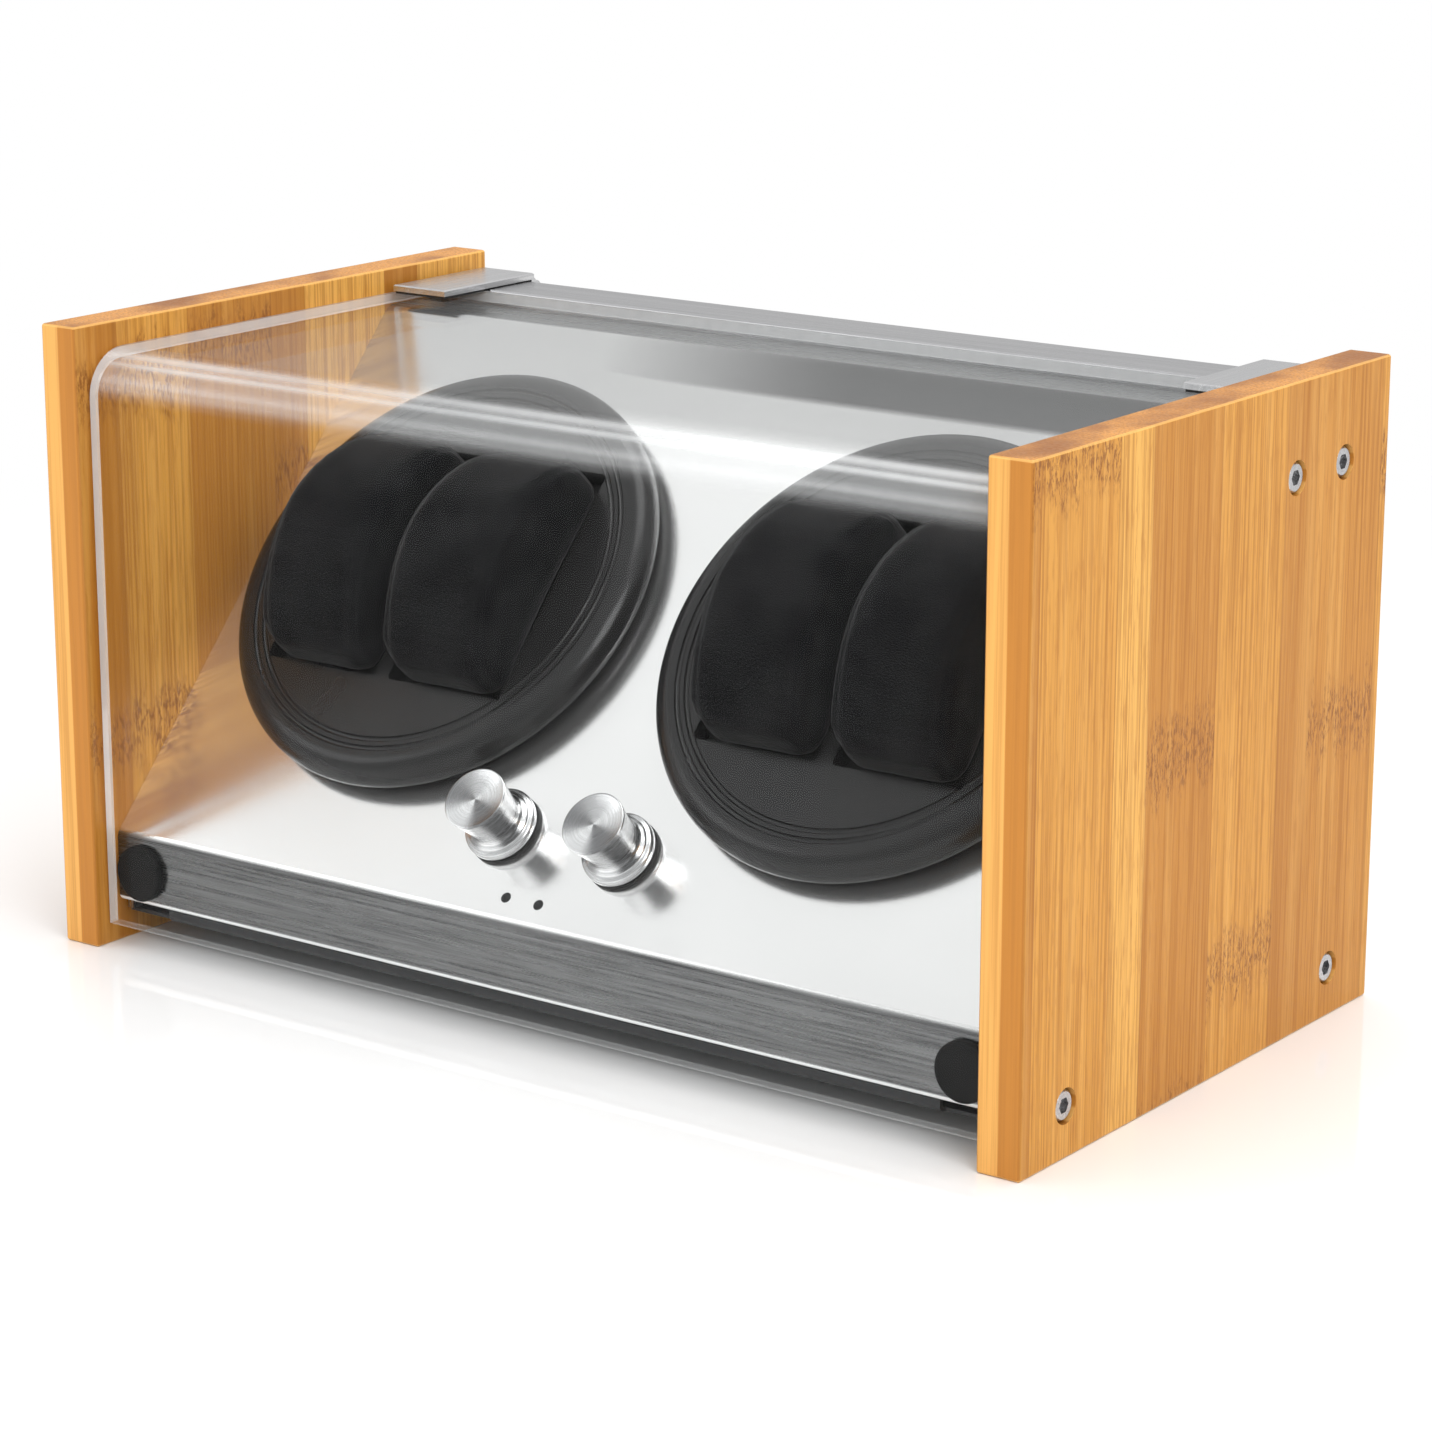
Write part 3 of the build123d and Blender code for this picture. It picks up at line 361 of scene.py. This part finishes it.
def clear_acrylic():
    """Clear sheet: see-through, mirrors more at a glance, a painted highlight haze along its bend, painted
    highlights on the cut edges.
    """
    s = Shader("clear_acrylic")
    nx, ny, nz = s.facing()
    point, x, y, z = s.place()
    low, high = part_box("acrylic_cover")
    clear = s.add("ShaderNodeBsdfTransparent")
    clear.inputs["Color"].default_value = (0.985, 0.99, 0.99, 1)
    gloss = s.add("ShaderNodeBsdfGlossy")
    gloss.inputs["Roughness"].default_value = 0.035
    glance = s.add("ShaderNodeLayerWeight")
    glance.inputs["Blend"].default_value = 0.5
    share = s.math("POWER", glance.outputs["Facing"], 5.0)
    share = s.math("ADD", s.math("MULTIPLY", share, 0.3), 0.006)
    sheet = s.add("ShaderNodeMixShader")
    s.link(share, sheet.inputs[0])
    s.link(clear.outputs[0], sheet.inputs[1])
    s.link(gloss.outputs[0], sheet.inputs[2])
    ripple = s.noise(s.stretch(point, (9, 40, 40)), 1.0, 1.0, 0.5)
    bump = s.bump(ripple, 0.00003, 0.15)
    s.link(bump.outputs[0], gloss.inputs["Normal"])

    # Painted highlight: a pale haze round the bend, with two light streaks along it, and a fading haze over the
    # top.
    turn = s.math("ARCTAN2", nz, s.math("MULTIPLY", ny, -1.0))
    outer = s.smooth(ny, 0.02, 0.1, 1.0, 0.0)
    painted_bend_highlight = s.math("MULTIPLY", s.smooth(turn, 0.03, 0.32), s.smooth(turn, 1.1, 1.5, 1.0, 0.35))
    drift = s.noise(s.stretch(point, (11, 1, 1)), 1.0, 2.0, 0.5)
    for at, width, height in ((0.50, 0.14, 0.8), (1.10, 0.22, 3.0)):
        offset = s.math("ABSOLUTE", s.math("SUBTRACT", turn, at))
        streak = s.smooth(offset, 0.0, width, height, 0.0)
        streak = s.math("MULTIPLY", streak, s.smooth(drift, 0.3, 0.6, 0.5, 1.0))
        painted_bend_highlight = s.math("ADD", painted_bend_highlight, streak)
    fade = s.smooth(y, low.y, high.y, 0.25, 0.02)
    top_painted_haze = s.math("MULTIPLY", s.smooth(nz, 0.97, 0.999), fade)
    painted_bend_highlight = s.math("MULTIPLY", painted_bend_highlight, s.smooth(nz, 0.985, 0.999, 1.0, 0.0))
    painted_bend_highlight = s.math("MAXIMUM", painted_bend_highlight, top_painted_haze)
    painted_bend_highlight = s.math("MULTIPLY", s.math("MULTIPLY", painted_bend_highlight, outer), 0.12)

    # Cut edges: both sides, the bottom and the back edge, given a painted whitish highlight.
    cut = s.smooth(s.math("ABSOLUTE", nx), 0.5, 0.8)
    cut = s.math("MAXIMUM", cut, s.smooth(z, low.z + 0.2 * MM, low.z + 0.6 * MM, 0.3, 0.0))
    cut = s.math("MAXIMUM", cut, s.smooth(y, high.y - 0.6 * MM, high.y - 0.2 * MM))
    glow = s.noise(s.stretch(point, (300, 60, 60)), 1.0, 2.0, 0.5)
    s.set(Base_Color=s.mix(glow, (0.80, 0.81, 0.82), (0.97, 0.98, 0.98)), Roughness=0.12)
    whole = s.add("ShaderNodeMixShader")
    s.link(s.math("MAXIMUM", s.math("MULTIPLY", cut, 0.5), painted_bend_highlight), whole.inputs[0])
    s.link(sheet.outputs[0], whole.inputs[1])
    s.link(s.bsdf.outputs[0], whole.inputs[2])
    s.link(whole.outputs[0], s.output.inputs["Surface"])
    return s.material


def plastic(name, colour, roughness=0.35, grain=1500, depth=0.00003, specular=0.5):
    """Moulded plastic or rubber with a fine skin and faint unevenness."""
    s = Shader(name)
    point = s.place()[0]
    skin = s.noise(point, grain, 3.0, 0.6)
    cloud = s.noise(point, 38, 2.0, 0.5)
    lighter = tuple(min(1.0, c * 1.15 + 0.001) for c in colour)
    tint = s.mix(s.smooth(cloud, 0.35, 0.65, 0.0, 0.5), colour, lighter)
    rough = s.smooth(cloud, 0.3, 0.7, roughness * 0.97, roughness * 1.04)
    s.set(Base_Color=tint, Roughness=rough)
    s.bsdf.inputs["Specular IOR Level"].default_value = specular
    s.bump(skin, depth, 0.3)
    return s.material


def velvet():
    """Black short pile: dark ground, soft sheen, brushed patches."""
    s = Shader("black_velvet")
    point = s.place()[0]
    pile = s.noise(point, 2600, 2.0, 0.7)
    brushed_way = s.noise(point, 70, 3.0, 0.6)
    tint = s.mix(s.smooth(brushed_way, 0.35, 0.68), (0.0025, 0.0025, 0.003), (0.009, 0.009, 0.0095))
    tint = s.mix(s.smooth(pile, 0.55, 0.75, 0.0, 0.4), tint, (0.035, 0.035, 0.037))
    s.set(Base_Color=tint, Roughness=0.95)
    s.bsdf.inputs["Specular IOR Level"].default_value = 0.05
    s.bsdf.inputs["Sheen Weight"].default_value = 0.12
    s.bsdf.inputs["Sheen Roughness"].default_value = 0.35
    s.bump(pile, 0.0003, 0.6)
    return s.material


def spun_steel():
    """Turned steel: fine rings, and a painted reflection of light and dark sectors round the piece's own Z."""
    s = Shader("spun_steel")
    point, x, y, z = s.place()
    square = s.math("ADD", s.math("MULTIPLY", x, x), s.math("MULTIPLY", y, y))
    radius = s.math("POWER", square, 0.5)
    rings = s.join(s.math("MULTIPLY", radius, 5200.0), s.math("MULTIPLY", z, 2400.0), 0.0)
    lines = s.noise(rings, 1.0, 2.0, 0.6)
    # Painted reflection: light and dark sectors by angle on the face, and bands round the sides, standing in for
    # the spun finish's bow-tie highlight.
    angle = s.math("ARCTAN2", y, x)
    twice = s.math("SINE", s.math("ADD", s.math("MULTIPLY", angle, 2.0), -0.5))
    thrice = s.math("SINE", s.math("ADD", s.math("MULTIPLY", angle, 3.0), 0.9))
    painted_bowtie = s.math("ADD", s.math("MULTIPLY", twice, 0.6), s.math("MULTIPLY", thrice, 0.4))
    on_face = s.smooth(z, 17.85 * MM, 18.1 * MM)
    face = s.mix(s.smooth(painted_bowtie, -0.8, 0.8), (0.20, 0.20, 0.205), (0.86, 0.86, 0.865))
    painted_side_bands = s.math("SINE", s.math("ADD", s.math("MULTIPLY", angle, 4.0), 0.4))
    painted_side_bands = s.math("ADD", s.math("MULTIPLY", painted_side_bands, 0.65), s.math("MULTIPLY", twice, 0.35))
    sides = s.mix(s.smooth(painted_side_bands, -0.75, 0.6), (0.10, 0.10, 0.102), (0.92, 0.92, 0.925))
    tint = s.mix(on_face, sides, face)
    tint = s.mix(s.smooth(z, 4.8 * MM, 5.4 * MM, 0.75, 0.0), tint, (0.72, 0.72, 0.725))
    tint = s.mix(s.smooth(lines, 0.35, 0.65, 0.0, 0.35), tint, (0.36, 0.36, 0.365))
    s.set(Base_Color=tint, Roughness=s.smooth(lines, 0.3, 0.7, 0.20, 0.28))
    s.bsdf.inputs["Metallic"].default_value = 1.0
    s.bsdf.inputs["Anisotropic"].default_value = 0.7
    s.bsdf.inputs["Anisotropic Rotation"].default_value = 0.25
    tangent = s.add("ShaderNodeTangent", direction_type="RADIAL", axis="Z")
    s.link(tangent.outputs[0], s.bsdf.inputs["Tangent"])
    s.bump(lines, 0.000012, 0.4)
    return s.material


def board():
    """Green solder mask, with black parts above the board's face."""
    s = Shader("circuit_board")
    point, x, y, z = s.place()
    board_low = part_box("control_board")[0].z
    above = s.smooth(z, board_low + 1.7 * MM, board_low + 1.9 * MM)
    tracks = s.noise(s.stretch(point, (700, 700, 1)), 1.0, 1.0, 0.3)
    mask = s.mix(s.smooth(tracks, 0.5, 0.52), (0.012, 0.085, 0.035), (0.03, 0.16, 0.07))
    s.set(Base_Color=s.mix(above, mask, (0.02, 0.02, 0.02)), Roughness=0.35)
    s.bump(tracks, 0.00003, 0.3)
    return s.material


LENGTHWISE = (14, 1500, 1500)
EVEN = (900, 900, 900)
METALS = {
    "rail_steel": (LENGTHWISE, (0.52, 0.52, 0.53), (0.36, 0.36, 0.37)),
    "plated_steel": ((300, 300, 20), (0.5, 0.5, 0.52), (0.38, 0.38, 0.4)),
    "screw_steel": ((1500, 1500, 1500), (0.6, 0.6, 0.61), (0.4, 0.4, 0.41)),
    "satin_aluminium": ((1400, 30, 1400), (0.62, 0.62, 0.625), (0.5, 0.5, 0.51), (0.26, 0.36)),
    "shaft_steel": (EVEN, (0.66, 0.66, 0.67), (0.5, 0.5, 0.5)),
    "pulley_brass": (EVEN, (0.66, 0.46, 0.18), (0.5, 0.33, 0.12)),
    "motor_case": ((600, 600, 600), (0.58, 0.58, 0.6), (0.46, 0.46, 0.48)),
    "nut_steel": (EVEN, (0.6, 0.6, 0.6), (0.45, 0.45, 0.45)),
}
PLASTICS = {
    "black_steel": ((0.018, 0.018, 0.019), 0.55, 2600, 0.00006),
    "pad_rubber": ((0.012, 0.012, 0.012), 0.7),
    "bumper_rubber": ((0.005, 0.005, 0.005), 0.7, 1500, 0.00003, 0.2),
    "charcoal_plastic": ((0.013, 0.0126, 0.0126), 0.25, 1400, 0.000002, 0.34),
    "pulley_plastic": ((0.62, 0.62, 0.58), 0.45),
    "belt_rubber": ((0.012, 0.012, 0.012), 0.8),
    "switch_plastic": ((0.02, 0.02, 0.02), 0.5),
    "lamp_lens": ((0.003, 0.003, 0.003), 0.15),
}
MATERIALS = {
    "bamboo": bamboo(),
    "brushed_steel": front_steel(),
    "clear_acrylic": clear_acrylic(),
    "black_velvet": velvet(),
    "spun_steel": spun_steel(),
    "circuit_board": board(),
}
for name, values in METALS.items():
    MATERIALS[name] = brushed(name, *values)
for name, values in PLASTICS.items():
    MATERIALS[name] = plastic(name, *values)

for row in record["subparts"]:
    node = frame["nodes"].get(row["node"])
    if node is not None:
        node.data.materials.clear()
        node.data.materials.append(MATERIALS[row["material_slot"]])


def add_piece(name, mesh, slot, body, node, matrix=None):
    """A finished mesh as a piece that rides on a body and stands for a CAD node."""
    piece = bpy.data.objects.new(name, mesh)
    bpy.context.scene.collection.objects.link(piece)
    mesh.materials.clear()
    mesh.materials.append(MATERIALS[slot])
    if matrix is not None:
        piece.matrix_world = matrix
        bpy.context.view_layer.update()
    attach(piece, body)
    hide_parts(node)
    return piece


# ---------------------------------------------------------------- cushions

CUSHION_END_Z = 21 * MM
CUSHION_EDGE = 7 * MM
CUSHION_CUTS = 22
CUSHION_START = 1.2 * MM
CUSHION_CAP = 2.4 * MM
SIM_VOXEL = 2.6 * MM
SIM_PRESSURE = 4.0
SIM_QUALITY = 6
SIM_FRAMES = 18
HELD_FADE = 4 * MM
SEAM_IN = 4.2 * MM
SEAM_HALF = 0.9 * MM
SEAM_DEPTH = 0.55 * MM
SEAM_FROM = 6 * MM
DIMPLE_SCALE = 70
DIMPLE_DEPTH = 0.2 * MM
CROWN_SLACK = 0.5 * MM


def rounded_block(size, radius, cuts):
    """Closed box mesh of that size about the origin with rounded edges and even faces."""
    bm = bmesh.new()
    bmesh.ops.create_cube(bm, size=2.0)
    bmesh.ops.subdivide_edges(bm, edges=bm.edges[:], cuts=cuts, use_grid_fill=True)
    half = Vector(size) / 2
    for v in bm.verts:
        point = Vector([v.co[i] * half[i] for i in range(3)])
        core = Vector([max(-half[i] + radius, min(half[i] - radius, point[i])) for i in range(3)])
        away = point - core
        if away.length > 1e-9:
            point = core + away.normalized() * radius
        v.co = point
    return bm


def cushion_top(y, low, high, end_z):
    """Height of the cushion's arch at y, from its ends' height to its crown."""
    half = (high.y - low.y) / 2
    return end_z + (high.z - end_z) * (1 - (y / half) ** 2)


def cushion_mesh(low, high, end_z):
    """Barrel cushion in its own frame: a rounded block bent under an arch, not yet puffed."""
    size = high - low - Vector((1, 1, 1)) * 2 * CUSHION_START
    bm = rounded_block(size, CUSHION_EDGE, CUSHION_CUTS)
    for v in bm.verts:
        share = v.co.z / size.z + 0.5
        crown = cushion_top(v.co.y, low, high, end_z) - low.z - 2 * CUSHION_START
        v.co.z = low.z + CUSHION_START + share * crown
    mesh = bpy.data.meshes.new("cushion_form")
    bm.to_mesh(mesh)
    bm.free()
    return mesh


def puff(mesh, floor_z):
    """Cloth simulation under pressure, with the part inside the pocket held still."""
    obj = bpy.data.objects.new("cushion_sim", mesh)
    bpy.context.scene.collection.objects.link(obj)
    bpy.context.view_layer.objects.active = obj
    remesh = obj.modifiers.new("remesh", "REMESH")
    remesh.mode = "VOXEL"
    remesh.voxel_size = SIM_VOXEL
    bpy.context.view_layer.update()
    graph = bpy.context.evaluated_depsgraph_get()
    fine = bpy.data.meshes.new_from_object(obj.evaluated_get(graph))
    obj.modifiers.clear()
    obj.data = fine
    start = [v.co.copy() for v in fine.vertices]
    held = obj.vertex_groups.new(name="held")
    for v in fine.vertices:
        weight = max(0.0, min(1.0, 1 - (v.co.z - floor_z) / HELD_FADE))
        held.add([v.index], weight, "REPLACE")
    cloth = obj.modifiers.new("cloth", "CLOTH")
    settings = cloth.settings
    settings.use_pressure = True
    settings.uniform_pressure_force = SIM_PRESSURE
    settings.effector_weights.gravity = 0
    settings.vertex_group_mass = "held"
    settings.quality = SIM_QUALITY
    cloth.collision_settings.use_collision = False
    scene = bpy.context.scene
    for step in range(1, SIM_FRAMES + 1):
        scene.frame_set(step)
    graph = bpy.context.evaluated_depsgraph_get()
    puffed = bpy.data.meshes.new_from_object(obj.evaluated_get(graph))
    for v, was in zip(puffed.vertices, start):
        move = v.co - was
        if move.length > CUSHION_CAP:
            v.co = was + move.normalized() * CUSHION_CAP
    scene.frame_set(1)
    bpy.data.objects.remove(obj)
    return puffed


def finish_cushion(mesh, low, high, seed):
    """Subdivides, keeps the form in its pocket, sinks the two seams and adds a soft dimpling."""
    bm = bmesh.new()
    bm.from_mesh(mesh)
    bmesh.ops.subdivide_edges(bm, edges=bm.edges[:], cuts=1, use_grid_fill=True, smooth=0.4)
    bm.normal_update()
    normals = [v.normal.copy() for v in bm.verts]
    half_x = (high.x - low.x) / 2
    for v, normal in zip(bm.verts, normals):
        from_seam = abs(abs(v.co.x) - (half_x - SEAM_IN))
        if from_seam < 2 * SEAM_HALF and v.co.z > low.z + SEAM_FROM:
            depth = SEAM_DEPTH * math.exp(-((from_seam / SEAM_HALF) ** 2))
            v.co -= normal * depth
        dimple = noise.noise(v.co * DIMPLE_SCALE + Vector((seed * 3.7, 0, 0)))
        v.co += normal * dimple * DIMPLE_DEPTH
        v.co.x = max(low.x, min(high.x, v.co.x))
        v.co.y = max(low.y, min(high.y, v.co.y))
        v.co.z = max(low.z, min(high.z + CROWN_SLACK, v.co.z))
    done = bpy.data.meshes.new(f"cushion_{seed}")
    bm.to_mesh(done)
    bm.free()
    done.polygons.foreach_set("use_smooth", [True] * len(done.polygons))
    return done


first_low, first_high = local_box("cushion_left_inner", TABLE_FRAMES["left"])
shift = Vector(((first_low.x + first_high.x) / 2, (first_low.y + first_high.y) / 2, 0))
form_low, form_high = first_low - shift, first_high - shift
form = cushion_mesh(form_low, form_high, CUSHION_END_Z)
form = puff(form, form_low.z)
seed = 0
for side in SIDES:
    for place in PLACES:
        node = f"cushion_{side}_{place}"
        low, high = local_box(node, TABLE_FRAMES[side])
        middle = Vector(((low.x + high.x) / 2, (low.y + high.y) / 2, 0))
        seed += 1
        mesh = finish_cushion(form, form_low, form_high, seed)
        mesh.transform(TABLE_FRAMES[side] @ Matrix.Translation(middle))
        piece = add_piece(f"velvet_{side}_{place}", mesh, "black_velvet", node, node)

# ---------------------------------------------------------------- knobs

KNOB_PROFILE = (
    (0.0, 18.1), (2.0, 18.12), (5.0, 18.2), (8.6, 18.4), (9.05, 18.55), (9.35, 18.6), (9.55, 18.45),
    (9.6, 18.2), (9.5, 17.7), (9.3, 16.6), (9.05, 15.2), (8.8, 13.7), (8.55, 12.2), (8.3, 10.7),
    (8.08, 9.2), (7.95, 8.0), (7.95, 7.0), (8.2, 6.2), (8.8, 5.6), (9.5, 5.3), (9.62, 4.95),
    (9.75, 4.75), (10.4, 4.65), (10.9, 4.35), (11.15, 3.8), (11.2, 3.1), (11.15, 2.4), (10.9, 1.9),
    (10.5, 1.72), (7.6, 1.7), (7.6, 4.4), (0.0, 4.4),
)


def lathe(name, profile, turns=96):
    """Mesh turned from an (r, z) profile in millimetres about Z."""
    angles = [2 * math.pi * k / turns for k in range(turns)]
    bm = bmesh.new()
    rings = []
    for r, z in profile:
        spots = [(math.cos(a), math.sin(a)) for a in angles] if r else [(0, 0)]
        rings.append([bm.verts.new((r * MM * c, r * MM * s, z * MM)) for c, s in spots])
    for upper, lower in zip(rings, rings[1:]):
        for k in range(turns):
            corners = [upper[k % len(upper)], lower[k % len(lower)]]
            corners += [lower[(k + 1) % len(lower)], upper[(k + 1) % len(upper)]]
            unique = list(dict.fromkeys(corners))
            if len(unique) > 2:
                bm.faces.new(unique)
    bmesh.ops.recalc_face_normals(bm, faces=bm.faces[:])
    mesh = bpy.data.meshes.new(name)
    bm.to_mesh(mesh)
    bm.free()
    mesh.polygons.foreach_set("use_smooth", [True] * len(mesh.polygons))
    return mesh


for side in SIDES:
    mesh = lathe(f"knob_form_{side}", KNOB_PROFILE)
    node = f"knob_{side}"
    add_piece(f"turned_knob_{side}", mesh, "spun_steel", node, node, KNOB_FRAMES[side])

# ---------------------------------------------------------------- floor, light and camera

FLOOR_HALF = 6.0
PAPER_NEAR, PAPER_FAR = 0.36, 0.8
floor_shader = Shader("floor_paper")
floor_point = floor_shader.place()[0]
floor_cloud = floor_shader.noise(floor_point, 3.0, 2.0, 0.5)
floor_shader.set(
    Base_Color=floor_shader.mix(floor_cloud, (0.90, 0.90, 0.90), (0.92, 0.92, 0.92)),
    Roughness=0.05,
)
far_paper = floor_shader.add("ShaderNodeEmission")
distance = floor_shader.add("ShaderNodeVectorMath", operation="LENGTH")
floor_shader.link(floor_point, distance.inputs[0])
blend_paper = floor_shader.add("ShaderNodeMixShader")
how_far = floor_shader.smooth(distance.outputs["Value"], PAPER_NEAR, PAPER_FAR)
floor_shader.link(how_far, blend_paper.inputs[0])
floor_shader.link(floor_shader.bsdf.outputs[0], blend_paper.inputs[1])
floor_shader.link(far_paper.outputs[0], blend_paper.inputs[2])
floor_shader.link(blend_paper.outputs[0], floor_shader.output.inputs["Surface"])
floor_mesh = bpy.data.meshes.new("floor")
corners = [(-FLOOR_HALF, -FLOOR_HALF, 0), (FLOOR_HALF, -FLOOR_HALF, 0)]
corners += [(FLOOR_HALF, FLOOR_HALF, 0), (-FLOOR_HALF, FLOOR_HALF, 0)]
floor_mesh.from_pydata(corners, [], [(0, 1, 2, 3)])
floor_mesh.materials.append(floor_shader.material)
floor = bpy.data.objects.new("floor", floor_mesh)
bpy.context.scene.collection.objects.link(floor)


def soft_light(name, place, aim, size, power):
    """Rectangular area light at place that faces aim, its power in watts."""
    data = bpy.data.lights.new(name, "AREA")
    data.shape = "RECTANGLE"
    data.size, data.size_y = size
    data.energy = power
    lamp = bpy.data.objects.new(name, data)
    lamp.location = place
    lamp.rotation_euler = (Vector(aim) - Vector(place)).to_track_quat("-Z", "Y").to_euler()
    lamp.visible_camera = False
    bpy.context.scene.collection.objects.link(lamp)


centre = (cad_low + cad_high) / 2
soft_light("key", (1.25, -0.75, 1.2), centre, (0.8, 0.8), 10.5)
soft_light("top", (0.15, 0.2, 1.6), centre, (1.2, 0.8), 9)
soft_light("left_fill", (-1.3, -1.2, 0.9), centre, (0.8, 0.8), 3)
# Studio surround: white for the camera and for plain light, a grey horizon in reflections.
world = bpy.data.worlds.new("studio")
world.use_nodes = True
tree = world.node_tree
sky = tree.nodes["Background"]
white_sky = tree.nodes.new("ShaderNodeBackground")
coords = tree.nodes.new("ShaderNodeTexCoord")
split = tree.nodes.new("ShaderNodeSeparateXYZ")
rise = tree.nodes.new("ShaderNodeMapRange")
path = tree.nodes.new("ShaderNodeLightPath")
either = tree.nodes.new("ShaderNodeMath")
choose = tree.nodes.new("ShaderNodeMixShader")
rise.interpolation_type = "SMOOTHSTEP"
HORIZON = {"From Min": 0.20, "From Max": 0.62, "To Min": 0.66, "To Max": 0.97}
for name, value in HORIZON.items():
    rise.inputs[name].default_value = value
either.operation = "MAXIMUM"
for source, target in (
    (coords.outputs["Generated"], split.inputs[0]),
    (split.outputs[2], rise.inputs["Value"]),
    (rise.outputs["Result"], sky.inputs["Strength"]),
    (path.outputs["Is Camera Ray"], either.inputs[0]),
    (path.outputs["Is Diffuse Ray"], either.inputs[1]),
    (either.outputs[0], choose.inputs[0]),
    (sky.outputs[0], choose.inputs[1]),
    (white_sky.outputs[0], choose.inputs[2]),
    (choose.outputs[0], tree.nodes["World Output"].inputs["Surface"]),
):
    tree.links.new(source, target)
for background in (sky, white_sky):
    background.inputs["Color"].default_value = (1, 1, 1, 1)
bpy.context.scene.world = world
bpy.context.scene.view_settings.view_transform = "Standard"

CAMERA_PLACE = (0.7002, -0.9421, 0.3895)
CAMERA_LENS = 104.8
CAMERA_SENSOR = 36
CAMERA_TURN = math.radians(36.43)
CAMERA_TILT = math.radians(14.92)
camera_data = bpy.data.cameras.new("camera")
camera_data.lens = CAMERA_LENS
camera_data.sensor_width = CAMERA_SENSOR
camera_data.dof.use_dof = False
camera = bpy.data.objects.new("camera", camera_data)
camera.location = CAMERA_PLACE
camera.rotation_euler = (math.pi / 2 - CAMERA_TILT, 0, CAMERA_TURN)
bpy.context.scene.collection.objects.link(camera)
bpy.context.scene.camera = camera

bpy.context.view_layer.update()
